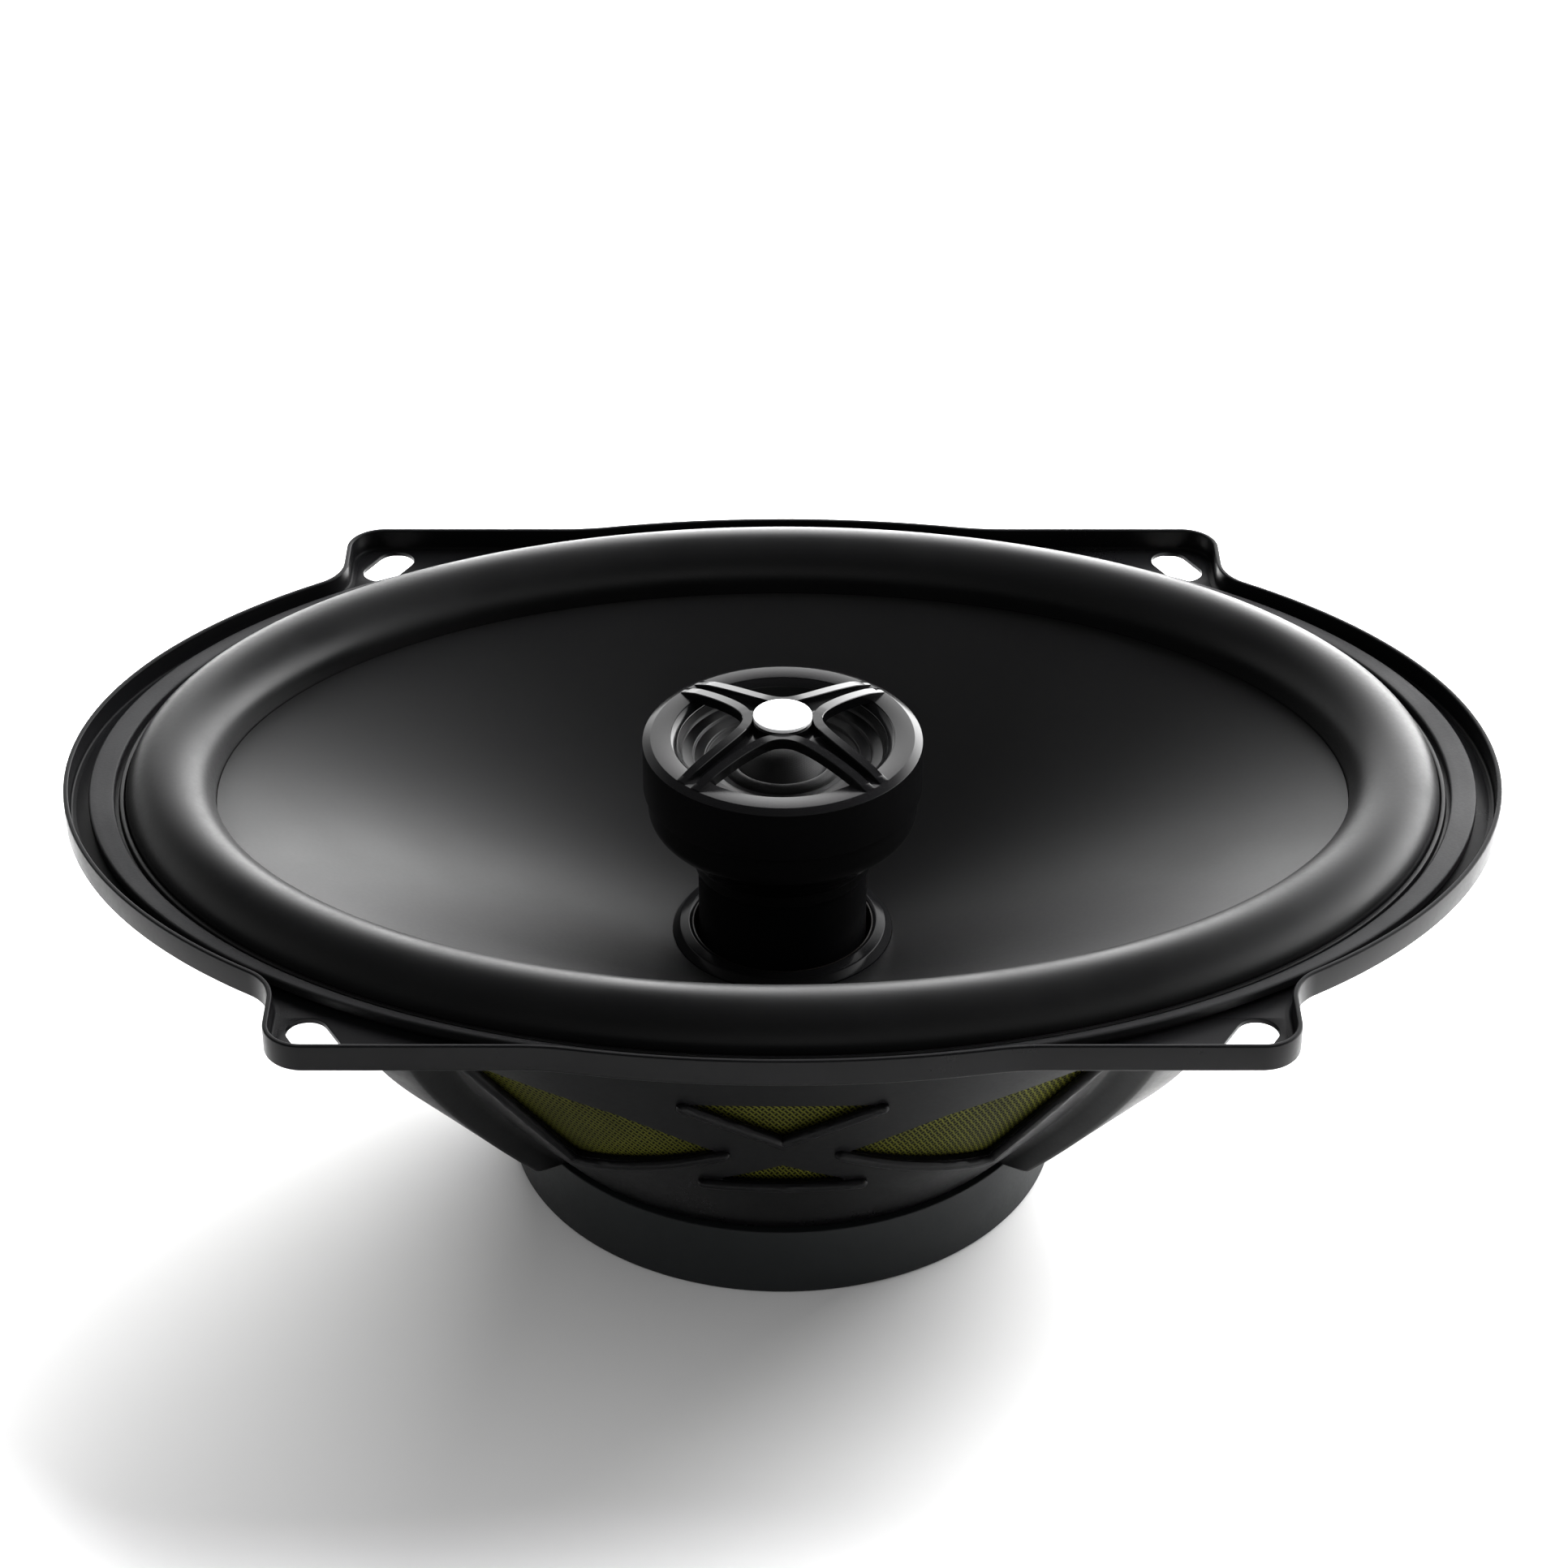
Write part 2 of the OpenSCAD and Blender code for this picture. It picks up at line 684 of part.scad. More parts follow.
module tweeter_surround() {
    mid = 7.65;
    skin = 0.2;
    roll = 1;
    n = 8;
    color([0.045, 0.045, 0.05])
    translate([0, 0, ledge_z + 0.1])
    rotate_extrude()
    polygon(concat(
        [[dome_r + 0.1, 0], [dome_r + 0.1, skin], [mid - roll, skin]],
        [for (i = [1:n - 1]) let (w = 180 - 180 * i / n) [mid + roll * cos(w), skin + roll * sin(w)]],
        [[mid + roll, skin], [9.5, skin], [9.5, 0], [mid + roll - skin, 0]],
        [for (i = [1:n - 1]) let (w = 180 * i / n)
            [mid + (roll - skin) * cos(w), (roll - skin / 2) * sin(w)]],
        [[mid - roll + skin, 0]]
    ));
}

module tweeter_coil_former() {
    color([0.75, 0.6, 0.35])
    tube(0.2, dome_z - 0.45, 6.3, 6.2);
}

module tweeter_coil_winding() {
    color([0.72, 0.35, 0.15])
    tube(0.25, 2, 6.75, 6.32);
}

module tweeter_yoke() {
    depth = cup_top - housing_floor - 0.1;
    color([0.5, 0.51, 0.53])
    difference() {
        translate([0, 0, housing_floor + 0.1]) cylinder(r = cup_r, h = depth);
        translate([0, 0, housing_floor + 1.9]) cylinder(r = 7.2, h = 10);
    }
}

module tweeter_magnet() {
    color([0.7, 0.7, 0.72])
    translate([0, 0, housing_floor + 1.95]) cylinder(r = 5.6, h = 2.9);
}

module tweeter_pole_plate() {
    color([0.5, 0.51, 0.53])
    translate([0, 0, 0.3]) cylinder(r = 5.95, h = 1.8);
}

// ---------- Terminals and leads ----------

module terminal_board() {
    color([0.25, 0.16, 0.08])
    on_board()
    difference() {
        translate([-8, -12.5, pad_top + seam]) cube([16, 25, board_t]);
        for (s = [-1, 1]) translate([0, s * 10.7, -5]) cylinder(r = 1.35, h = 20);
        for (s = [-1, 1]) translate([-1.6, s * blade_y - blade_t / 2 - 0.05, 0])
            cube([3.2, blade_t + 0.1, 10]);
    }
}

// Blade with a foot on the board, a tang through it and a round dimple hole
module blade(width, side) {
    top = pad_top + board_t + 2 * seam;
    on_board()
    translate([0, side * blade_y, 0])
    difference() {
        union() {
            translate([-width / 2, -blade_t / 2, top]) cube([width, blade_t, blade_out]);
            translate([-width / 2, -1.6, top]) cube([width, 3.2, blade_t]);
            translate([-1.5, -blade_t / 2, -4.5]) cube([3, blade_t, top + 4.5 + seam]);
        }
        translate([0, 5, top + blade_out - 3]) rotate([90, 0, 0]) cylinder(r = 0.85, h = 10);
    }
}

module terminal_positive() {
    color([0.8, 0.68, 0.35]) blade(blade_wide, 1);
}

module terminal_negative() {
    color([0.75, 0.76, 0.78]) blade(blade_narrow, -1);
}

module terminal_rivets() {
    color([0.6, 0.6, 0.62])
    on_board()
    for (s = [-1, 1]) translate([0, s * 10.7, 0]) {
        translate([0, 0, -2.6]) cylinder(r = 1.3, h = pad_top + board_t + 2.7);
        translate([0, 0, pad_top + board_t + 2 * seam]) cylinder(r1 = 2.2, r2 = 1.5, h = 0.9);
    }
}

// Braided lead from the former to a terminal's inner end, with slack for the cone's travel
tinsel_route = [
    [13.9, 3, -30], [17, 3.2, -31.5], [21, 3.6, -33], [26, 4, -34], [31, 4.4, -34.4], [36, 4.7, -33.8],
    [41, 5, -32.2], [46, 5.2, -29.8], [51, 5.4, -26.8], [56, 5.5, -23.5], [60, 5.5, -20.9]
];

module tinsel_lead_positive() {
    color([0.75, 0.5, 0.25]) wire(tinsel_route, 0.7);
}

module tinsel_lead_negative() {
    color([0.75, 0.5, 0.25]) wire([for (p = tinsel_route) [p.x, -p.y, p.z]], 0.7);
}

// Insulated wire from a blade's foot, down the bowl, under the cover, through the yoke's groove and up
// into the post
function tweeter_route(side) = concat(
    [for (p = [[4.2, 5, 4.4], [6.5, 4.4, 4.3], [9, 3.6, 3.8], [11, 2.9, 2.4], [13, 2.4, 1.4], [18, 1.8, 1],
               [24, 1.5, 1], [29, 1.4, 1]]) board_point([p.x, side * p.y, p.z])],
    [for (p = [[42.2, 1.3, -48.6], [41.3, 1.2, -50.2], [40, 1.2, -50.7], [39.24, 1.2, -52],
               [39.24, 1.2, -56], [38.5, 1.2, -57.9], [37, 1.2, -58.7], [28, 1.2, -58.7], [18, 1.2, -58.7],
               [9, 1.2, -58.7], [7.2, 1.2, -58.2], [6.6, 1.2, -56.8], [6.6, 1.2, -46], [6.6, 1.2, -36]])
        [p.x, side * p.y, p.z]]
);

module tweeter_lead_positive() {
    color([0.6, 0.08, 0.06])
    wire(concat(tweeter_route(1), [[6.2, 1.2, -33.5], [4.6, 1, -31.4], [2.6, 0.6, -30.4], [1.1, 0.2, -30.2]]),
         wire_r);
}

module tweeter_lead_negative() {
    color([0.04, 0.04, 0.04])
    wire(concat(tweeter_route(-1), [[7.2, -1.2, -30], [7.2, -1.2, -20], [7, -1.2, -12], [5.4, -1.2, -8.9],
                                    [3, -1.1, -7.4], [1.9, -1, -6.2], [1.8, -1, -4.9]]), wire_r);
}

basket();
basket_rivets();
gasket_ring();
surround();
cone();
cone_collar();
spider();
spider_ring();
voice_coil_former();
voice_coil_winding();
top_plate();
magnet();
yoke();
magnet_cover();
tweeter_post();
post_bolt();
post_nut();
crossover_capacitor();
tweeter_housing();
tweeter_bezel();
tweeter_grille();
badge();
tweeter_waveguide();
tweeter_dome();
tweeter_surround();
tweeter_coil_former();
tweeter_coil_winding();
tweeter_yoke();
tweeter_magnet();
tweeter_pole_plate();
dust_screen();
terminal_board();
terminal_positive();
terminal_negative();
terminal_rivets();
tinsel_lead_positive();
tinsel_lead_negative();
tweeter_lead_positive();
tweeter_lead_negative();
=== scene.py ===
import json
import math

import bmesh
import bpy
import numpy as np
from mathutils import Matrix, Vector


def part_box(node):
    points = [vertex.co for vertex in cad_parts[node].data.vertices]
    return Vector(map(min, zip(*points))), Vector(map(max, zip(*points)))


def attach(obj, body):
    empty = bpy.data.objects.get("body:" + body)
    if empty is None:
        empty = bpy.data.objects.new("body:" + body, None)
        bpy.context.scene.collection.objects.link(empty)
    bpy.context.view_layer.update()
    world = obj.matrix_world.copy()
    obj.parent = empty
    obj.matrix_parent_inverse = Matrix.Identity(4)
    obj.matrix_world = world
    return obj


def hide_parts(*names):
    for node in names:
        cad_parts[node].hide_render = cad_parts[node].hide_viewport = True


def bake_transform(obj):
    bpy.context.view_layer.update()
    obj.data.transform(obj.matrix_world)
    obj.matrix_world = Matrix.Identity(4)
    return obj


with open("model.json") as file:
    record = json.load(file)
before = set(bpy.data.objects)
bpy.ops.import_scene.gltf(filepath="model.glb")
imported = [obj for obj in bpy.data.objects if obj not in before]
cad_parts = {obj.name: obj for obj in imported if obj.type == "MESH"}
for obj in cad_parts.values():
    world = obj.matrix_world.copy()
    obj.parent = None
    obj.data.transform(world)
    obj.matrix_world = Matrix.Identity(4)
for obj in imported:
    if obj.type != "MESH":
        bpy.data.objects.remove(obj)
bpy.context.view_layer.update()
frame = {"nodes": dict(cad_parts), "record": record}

MM = 0.001
FRAME, CONE, DOME = "frame_body", "cone_body", "dome_body"
PARTS = bpy.context.scene.collection
MATERIALS = {}


def low_high(node):
    """A CAD node's lowest and highest corner, in millimetres."""
    low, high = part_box(node)
    return np.array(low) / MM, np.array(high) / MM


# ---------- Sizes, in millimetres ----------

BASKET_LOW, BASKET_HIGH = low_high("basket")
RIM_A, RIM_B = BASKET_HIGH[0], BASKET_HIGH[1]
LIP_H, FLOOR_Z = BASKET_HIGH[2], BASKET_LOW[2]
EAR_EDGE, EAR_SIDE, EAR_CORNER, EAR_FILLET, EAR_BLEND = 67.95, 67.7, 5.5, 7.0, 40.0
SHEET, LIP_T, LIP_FOOT = 0.8, 0.75, 1.6
SLOT_X, SLOT_Y, SLOT_W, SLOT_LEN, SLOT_ANGLE = 61.3, 61.8, 5.6, 9.6, 61.0
BOWL_A, BOWL_B, BOWL_SQUARE, FLOOR_R, BOWL_STRAIGHT, WALL = 84.0, 58.0, 2.6, 39.5, 4.5, 1.0
ARM_OUT, ARM_MID, ARM_HALF, ARM_SIDE = 5.0, (59.0, 32.6), (2.2, 4.6), (1.6, 1.8)
ROLL_A, ROLL_B, ROLL_R, ROLL_TOP, RUBBER = 87.2, 60.9, 6.35, low_high("surround")[1][2], 0.7
CONE_EDGE_Z, NECK_DEPTH, COLLAR_R, COLLAR_DEPTH, CONE_FLARE = 0.2, 24.4, 16.0, 22.9, 1.15
COVER_LOW, COVER_HIGH = low_high("magnet_cover")
COVER_R = COVER_HIGH[0]
BEZEL_R, BEZEL_TOP, MOUTH_R = low_high("tweeter_bezel")[1][0], 8.6, 15.96
BADGE_LOW, BADGE_HIGH = low_high("badge")
GRILLE_ARM, GRILLE_BEND, GRILLE_REACH, GRILLE_T, RIDGE = 1.9, 3.0, 18.8, 1.6, 1.5
GRILLE_TOP, GRILLE_RISE, WEB_TOP, FOOT_DROP, FOOT_THIN = 9.0, 2.9, -1.3, 0.3, 0.78
DOME_R, DOME_H, DOME_Z, LEDGE_Z = 6.45, 2.7, 4.05, 3.9
BOARD_DROP, PAD_TOP = 24.0, 1.0
BOARD_X = BOWL_A + (FLOOR_R - BOWL_A) * (BOARD_DROP - BOWL_STRAIGHT) / (-FLOOR_Z - BOWL_STRAIGHT)
BOARD_TILT = math.atan2(-FLOOR_Z - BOWL_STRAIGHT, FLOOR_R - BOWL_A)


# ---------- Curves ----------

def turn(deg):
    """Unit vector at an angle."""
    return np.array([math.cos(math.radians(deg)), math.sin(math.radians(deg))])


def oval(a, b, t):
    """Point of an oval with half axes a and b."""
    return np.array([a, b]) * turn(t)


def oval_out(a, b, t):
    """Outward normal of the oval at that point."""
    v = np.array([b, a]) * turn(t)
    return v / np.linalg.norm(v)


def beside(a, b, t, d):
    """Point a distance d outside the oval."""
    return oval(a, b, t) + d * oval_out(a, b, t)


def angle_at(a, b, d, axis, goal, low, high):
    """Angle at which beside() reaches goal along an axis, by halving."""
    for _ in range(40):
        mid = (low + high) / 2
        v = beside(a, b, mid, d)[axis]
        if (v > goal) if axis == 0 else (v < goal):
            low = mid
        else:
            high = mid
    return low


def heading(v):
    return math.degrees(math.atan2(v[1], v[0]))


def arc(centre, r, start, end, n):
    """Points of an arc after its first one."""
    return [np.array(centre) + r * turn(start + (end - start) * i / n) for i in range(1, n + 1)]


def all_round(quarter):
    """Whole outline from its first quarter, which runs from the X axis to the Y axis."""
    q = [np.array(p, float) for p in quarter]
    n = len(q)
    return (q + [q[i] * (-1, 1) for i in range(n - 2, -1, -1)] + [-q[i] for i in range(1, n)]
            + [q[i] * (1, -1) for i in range(n - 2, 0, -1)])


FILLET_T = angle_at(RIM_A, RIM_B, EAR_FILLET, 0, EAR_SIDE + EAR_FILLET, 10, 80)
BLEND_T = angle_at(RIM_A, RIM_B, EAR_BLEND, 1, EAR_EDGE + EAR_BLEND, 45, 90)


def rim_outline(d):
    """Flange outline, d inside its edge: an oval with four ears."""
    q = [beside(RIM_A, RIM_B, FILLET_T * i / 40, -d) for i in range(41)]
    q += arc(beside(RIM_A, RIM_B, FILLET_T, EAR_FILLET), EAR_FILLET + d,
             heading(oval_out(RIM_A, RIM_B, FILLET_T)) + 180, 180, 16)
    q += [(EAR_SIDE - d, EAR_EDGE - EAR_CORNER)]
    q += arc((EAR_SIDE - EAR_CORNER, EAR_EDGE - EAR_CORNER), EAR_CORNER - d, 0, 90, 20)
    blend = beside(RIM_A, RIM_B, BLEND_T, EAR_BLEND)
    q += [((EAR_SIDE - EAR_CORNER) * (1 - k) + blend[0] * k, EAR_EDGE - d) for k in (0.33, 0.67, 1)]
    q += arc(blend, EAR_BLEND + d, 270, heading(oval_out(RIM_A, RIM_B, BLEND_T)) + 180, 12)
    q += [beside(RIM_A, RIM_B, BLEND_T + (90 - BLEND_T) * i / 16, -d) for i in range(1, 17)]
    return all_round(q)


def between(pair, s):
    """Value a share s of the way from the first to the second."""
    return pair[0] + (pair[1] - pair[0]) * s


def bowl_share(z):
    """How far down the bowl's slope a height is, from 0 to 1."""
    return min(1.0, max(0.0, (-z - BOWL_STRAIGHT) / (-FLOOR_Z - BOWL_STRAIGHT)))


def bowl_point(t, s, d):
    """Point d outside the bowl's section at a share of its depth: a squarish oval that turns round."""
    p = 2 / between((BOWL_SQUARE, 2), s)
    c = np.maximum(turn(t), 0)
    v = np.array([between((BOWL_A, FLOOR_R), s) * c[0] ** p, between((BOWL_B, FLOOR_R), s) * c[1] ** p])
    return v + d * v / np.linalg.norm(v)


def bowl_outline(z, d, arms=True, fine=26):
    """Bowl section at a height, moved outward by d, with its four corner arms or without them."""
    s = bowl_share(z)
    m, h, e = between(ARM_MID, s), between(ARM_HALF, s), between(ARM_SIDE, s)
    side = [(0.0, 0.0), (0.16, 0.05), (0.34, 0.28), (0.7, 0.86), (0.86, 0.97), (1.0, 1.0)]
    stations = [((m - h - e) * i / fine, 0) for i in range(fine)]
    stations += [(m - h - e + e * k, w) for k, w in side]
    stations += [(m - h + 2 * h * k, 1) for k in (0.33, 0.67)]
    stations += [(m + h + e - e * k, w) for k, w in reversed(side)]
    stations += [(m + h + e + (90 - m - h - e) * i / fine, 0) for i in range(1, fine + 1)]
    return all_round([bowl_point(t, s, d + (w * ARM_OUT if arms else 0)) for t, w in stations])


def on_bowl(along, z, lift):
    """Point on the bowl's outer face in the +X +Y quarter, from its place along the wall and height."""
    s = bowl_share(z)
    n = between((BOWL_SQUARE, 2), s)
    a, b = between((BOWL_A, FLOOR_R), s) + lift, between((BOWL_B, FLOOR_R), s) + lift
    return np.array([along, b * max(0, 1 - (abs(along) / a) ** n) ** (1 / n), z])


def rounded(points, radii, steps=5, closed=True):
    """Profile with each corner turned into an arc of its radius."""
    out, n = [], len(points)
    for i, (p, r) in enumerate(zip(points, radii)):
        p = np.array(p, float)
        if r == 0 or (not closed and i in (0, n - 1)):
            out.append(p)
            continue
        a, b = np.array(points[i - 1], float) - p, np.array(points[(i + 1) % n], float) - p
        la, lb = np.linalg.norm(a), np.linalg.norm(b)
        a, b = a / la, b / lb
        half = math.acos(max(-1, min(1, float(a @ b)))) / 2
        if abs(half - math.pi / 2) < 0.01:
            out.append(p)
            continue
        reach = min(r / math.tan(half), 0.49 * la, 0.49 * lb)
        r_real = reach * math.tan(half)
        centre = p + (a + b) / np.linalg.norm(a + b) * (r_real / math.sin(half))
        start, end = p + a * reach - centre, p + b * reach - centre
        w0, w1 = math.atan2(start[1], start[0]), math.atan2(end[1], end[0])
        dw = (w1 - w0 + math.pi) % (2 * math.pi) - math.pi
        out += [centre + r_real * np.array([math.cos(w0 + dw * k / steps), math.sin(w0 + dw * k / steps)])
                for k in range(steps + 1)]
    return out


def smooth_line(points, per_span):
    """Catmull-Rom curve through points."""
    p = [np.array(q, float) for q in points]
    last = len(p) - 1
    out = []
    for i in range(last):
        a, b, c, d = (p[min(last, max(0, k))] for k in (i - 1, i, i + 1, i + 2))
        for k in range(per_span):
            t = k / per_span
            out.append(0.5 * (2 * b + (c - a) * t + (2 * a - 5 * b + 4 * c - d) * t * t
                              + (3 * b - a - 3 * c + d) * t ** 3))
    return out + [p[-1]]


# ---------- Mesh building ----------

class Shape:
    """Vertices in millimetres and faces, collected from several surfaces."""

    def __init__(self):
        self.verts, self.faces = [], []

    def add(self, verts, faces):
        k = len(self.verts)
        self.verts += [tuple(float(c) for c in v) for v in verts]
        self.faces += [tuple(i + k for i in f) for f in faces]
        return self

    def loft(self, rings, closed=True, caps=False):
        """Skin over loops of equal length; closed joins the last loop to the first."""
        n, m = len(rings[0]), len(rings)
        faces = []
        for i in range(m if closed else m - 1):
            for j in range(n):
                a, b = i * n, ((i + 1) % m) * n
                faces.append((a + j, a + (j + 1) % n, b + (j + 1) % n, b + j))
        if caps:
            faces += [tuple(range(n - 1, -1, -1)), tuple(range((m - 1) * n, m * n))]
        return self.add([v for r in rings for v in r], faces)

    def sweep(self, outline, profile):
        """Ring that carries a profile of (distance, height) along an outline function of distance."""
        return self.loft([[(p[0], p[1], z) for p in outline(d)] for d, z in profile])

    def lathe(self, profile, n=144, closed=True):
        """Surface of revolution of (radius, height) about the axis."""
        if closed and all(r > 1e-6 for r, _ in profile):
            return self.loft([[(*(r * turn(360 * j / n)), z) for j in range(n)] for r, z in profile])
        verts, faces, rows = [], [], []
        for r, z in profile:
            if r < 1e-6:
                rows.append([len(verts)] * n)
                verts.append((0, 0, z))
            else:
                rows.append([len(verts) + j for j in range(n)])
                verts += [(*(r * turn(360 * j / n)), z) for j in range(n)]
        for a, b in zip(rows, rows[1:]):
            for j in range(n):
                face = [a[j], a[(j + 1) % n], b[(j + 1) % n], b[j]]
                faces.append(tuple(dict.fromkeys(face)))
        return self.add(verts, faces)

    def tube(self, path, r, k=12):
        """Round rod along a path, with domed ends."""
        p = [np.array(q, float) for q in path]
        first, last = p[0] - p[1], p[-1] - p[-2]
        first, last = first / np.linalg.norm(first), last / np.linalg.norm(last)
        cap = [(math.sin(w), math.cos(w)) for w in np.radians([85, 65, 40, 15])]
        dome_in = [p[0] + first * r * s for s, _ in cap]
        dome_out = [p[-1] + last * r * s for s, _ in reversed(cap)]
        radii = [r * c for _, c in cap] + [r] * len(p) + [r * c for _, c in reversed(cap)]
        p = dome_in + p + dome_out
        rings, side = [], None
        for i, q in enumerate(p):
            t = p[min(i + 1, len(p) - 1)] - p[max(i - 1, 0)]
            t /= np.linalg.norm(t)
            if side is None:
                side = np.cross(t, (0, 0, 1) if abs(t[2]) < 0.9 else (1, 0, 0))
            side = side - t * (side @ t)
            side /= np.linalg.norm(side)
            up = np.cross(t, side)
            rings.append([q + radii[i] * (side * math.cos(w) + up * math.sin(w))
                          for w in np.linspace(0, 2 * math.pi, k, endpoint=False)])
        return self.loft(rings, closed=False, caps=True)

    def moved(self, place, start=0):
        """Passes each vertex from start on through a function."""
        self.verts[start:] = [tuple(float(c) for c in place(v)) for v in self.verts[start:]]
        return self

    def mesh(self, name, sharp=32):
        mesh = bpy.data.meshes.new(name)
        mesh.from_pydata([tuple(MM * c for c in v) for v in self.verts], [], self.faces)
        return tidy(mesh, sharp)


def tidy(mesh, sharp):
    """Joins doubled points, turns faces outward and smooths all but the sharp edges."""
    bm = bmesh.new()
    bm.from_mesh(mesh)
    bmesh.ops.remove_doubles(bm, verts=bm.verts, dist=1e-7)
    bmesh.ops.recalc_face_normals(bm, faces=bm.faces)
    bm.to_mesh(mesh)
    bm.free()
    mesh.polygons.foreach_set("use_smooth", [True] * len(mesh.polygons))
    mesh.set_sharp_from_angle(angle=math.radians(sharp))
    return mesh


def place(name, mesh, slot, body=None, replaces=()):
    """Puts a mesh in the scene with its slot's material; body None leaves it free."""
    obj = bpy.data.objects.new(name, mesh)
    PARTS.objects.link(obj)
    mesh.materials.clear()
    mesh.materials.append(MATERIALS[slot])
    if body:
        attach(obj, body)
    if replaces:
        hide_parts(*replaces)
    return obj


def place_turned(name, node, slot, profile, turns, sharp=32, body=FRAME, closed=True):
    """Places a surface of revolution that replaces one CAD node."""
    return place(name, Shape().lathe(profile, turns, closed).mesh(name, sharp), slot, body, [node])


def cut(mesh, cutter_mesh):
    """Exact boolean difference of two meshes."""
    a, b = (bpy.data.objects.new(n, m) for n, m in (("cut_a", mesh), ("cut_b", cutter_mesh)))
    for o in (a, b):
        PARTS.objects.link(o)
    mod = a.modifiers.new("cut", "BOOLEAN")
    mod.object, mod.operation, mod.solver = b, "DIFFERENCE", "EXACT"
    result = bpy.data.meshes.new_from_object(a.evaluated_get(bpy.context.evaluated_depsgraph_get()))
    for o in (a, b):
        bpy.data.objects.remove(o)
    return result


def joined(name, meshes, sharp):
    """One mesh from several."""
    bm = bmesh.new()
    for m in meshes:
        bm.from_mesh(m)
    mesh = bpy.data.meshes.new(name)
    bm.to_mesh(mesh)
    bm.free()
    return tidy(mesh, sharp)


def filled(name, outlines, thickness, bevel):
    """Plate between z 0 and thickness from an outer outline and its holes, with bevelled edges."""
    curve = bpy.data.curves.new(name, "CURVE")
    curve.dimensions, curve.fill_mode = "2D", "BOTH"
    curve.extrude, curve.bevel_depth, curve.bevel_resolution = (thickness / 2 - bevel) * MM, bevel * MM, 2
    curve.offset = -bevel * MM
    for outline in outlines:
        spline = curve.splines.new("POLY")
        spline.points.add(len(outline) - 1)
        for point, p in zip(spline.points, outline):
            point.co = (p[0] * MM, p[1] * MM, 0, 1)
        spline.use_cyclic_u = True
    obj = bpy.data.objects.new(name, curve)
    PARTS.objects.link(obj)
    mesh = bpy.data.meshes.new_from_object(obj.evaluated_get(bpy.context.evaluated_depsgraph_get()))
    bpy.data.objects.remove(obj)
    for v in mesh.vertices:
        v.co.z += thickness / 2 * MM
    return mesh


# ---------- Materials ----------

class Tree:
    """Short names for building the nodes of a material or a world."""

    def __init__(self, owner):
        owner.use_nodes = True
        self.nodes, self.links = owner.node_tree.nodes, owner.node_tree.links
        self.shader = self.nodes.get("Principled BSDF")
        self.places = self.nodes.new("ShaderNodeTexCoord").outputs

    def feed(self, socket, value):
        if isinstance(value, bpy.types.NodeSocket):
            self.links.new(value, socket)
        else:
            socket.default_value = value

    def math(self, kind, *values, clamp=False):
        n = self.nodes.new("ShaderNodeMath")
        n.operation, n.use_clamp = kind, clamp
        for socket, v in zip(n.inputs, values):
            self.feed(socket, v)
        return n.outputs[0]

    def noise(self, scale, detail=3.0, rough=0.55, stretch=None):
        n = self.nodes.new("ShaderNodeTexNoise")
        n.inputs["Scale"].default_value = scale
        n.inputs["Detail"].default_value = detail
        n.inputs["Roughness"].default_value = rough
        source = self.places["Object"]
        if stretch:
            mapping = self.nodes.new("ShaderNodeMapping")
            mapping.inputs["Scale"].default_value = stretch
            self.feed(mapping.inputs["Vector"], source)
            source = mapping.outputs[0]
        self.feed(n.inputs["Vector"], source)
        return n.outputs["Fac"]

    def span(self, value, low, high, in_low=0.3, in_high=0.7):
        n = self.nodes.new("ShaderNodeMapRange")
        self.feed(n.inputs["Value"], value)
        for name, v in (("From Min", in_low), ("From Max", in_high), ("To Min", low), ("To Max", high)):
            n.inputs[name].default_value = v
        return n.outputs[0]

    def mix(self, fac, a, b):
        n = self.nodes.new("ShaderNodeMix")
        n.data_type = "RGBA"
        self.feed(n.inputs["Factor"], fac)
        self.feed(n.inputs[6], (*a, 1) if isinstance(a, tuple) else a)
        self.feed(n.inputs[7], (*b, 1) if isinstance(b, tuple) else b)
        return n.outputs[2]

    def split(self, place="Object"):
        """The x, y and z of one of the node tree's coordinates."""
        n = self.nodes.new("ShaderNodeSeparateXYZ")
        self.feed(n.inputs[0], self.places[place])
        return n.outputs

    def bump(self, height, strength, distance):
        n = self.nodes.new("ShaderNodeBump")
        n.inputs["Strength"].default_value = strength
        n.inputs["Distance"].default_value = distance
        self.feed(n.inputs["Height"], height)
        return n.outputs[0]

    def edge_wear(self):
        """Share that rises along convex edges."""
        point = self.nodes.new("ShaderNodeNewGeometry").outputs["Pointiness"]
        return self.math("MULTIPLY", self.span(point, 0, 1, 0.51, 0.58), 0.5, clamp=True)


def new_material(name):
    """Node tree of a new material, which is kept under its slot's name."""
    MATERIALS[name] = bpy.data.materials.new(name)
    return Tree(MATERIALS[name])


def tint(colour, k):
    """Colour made k times as bright."""
    return tuple(min(1.0, c * k) for c in colour)


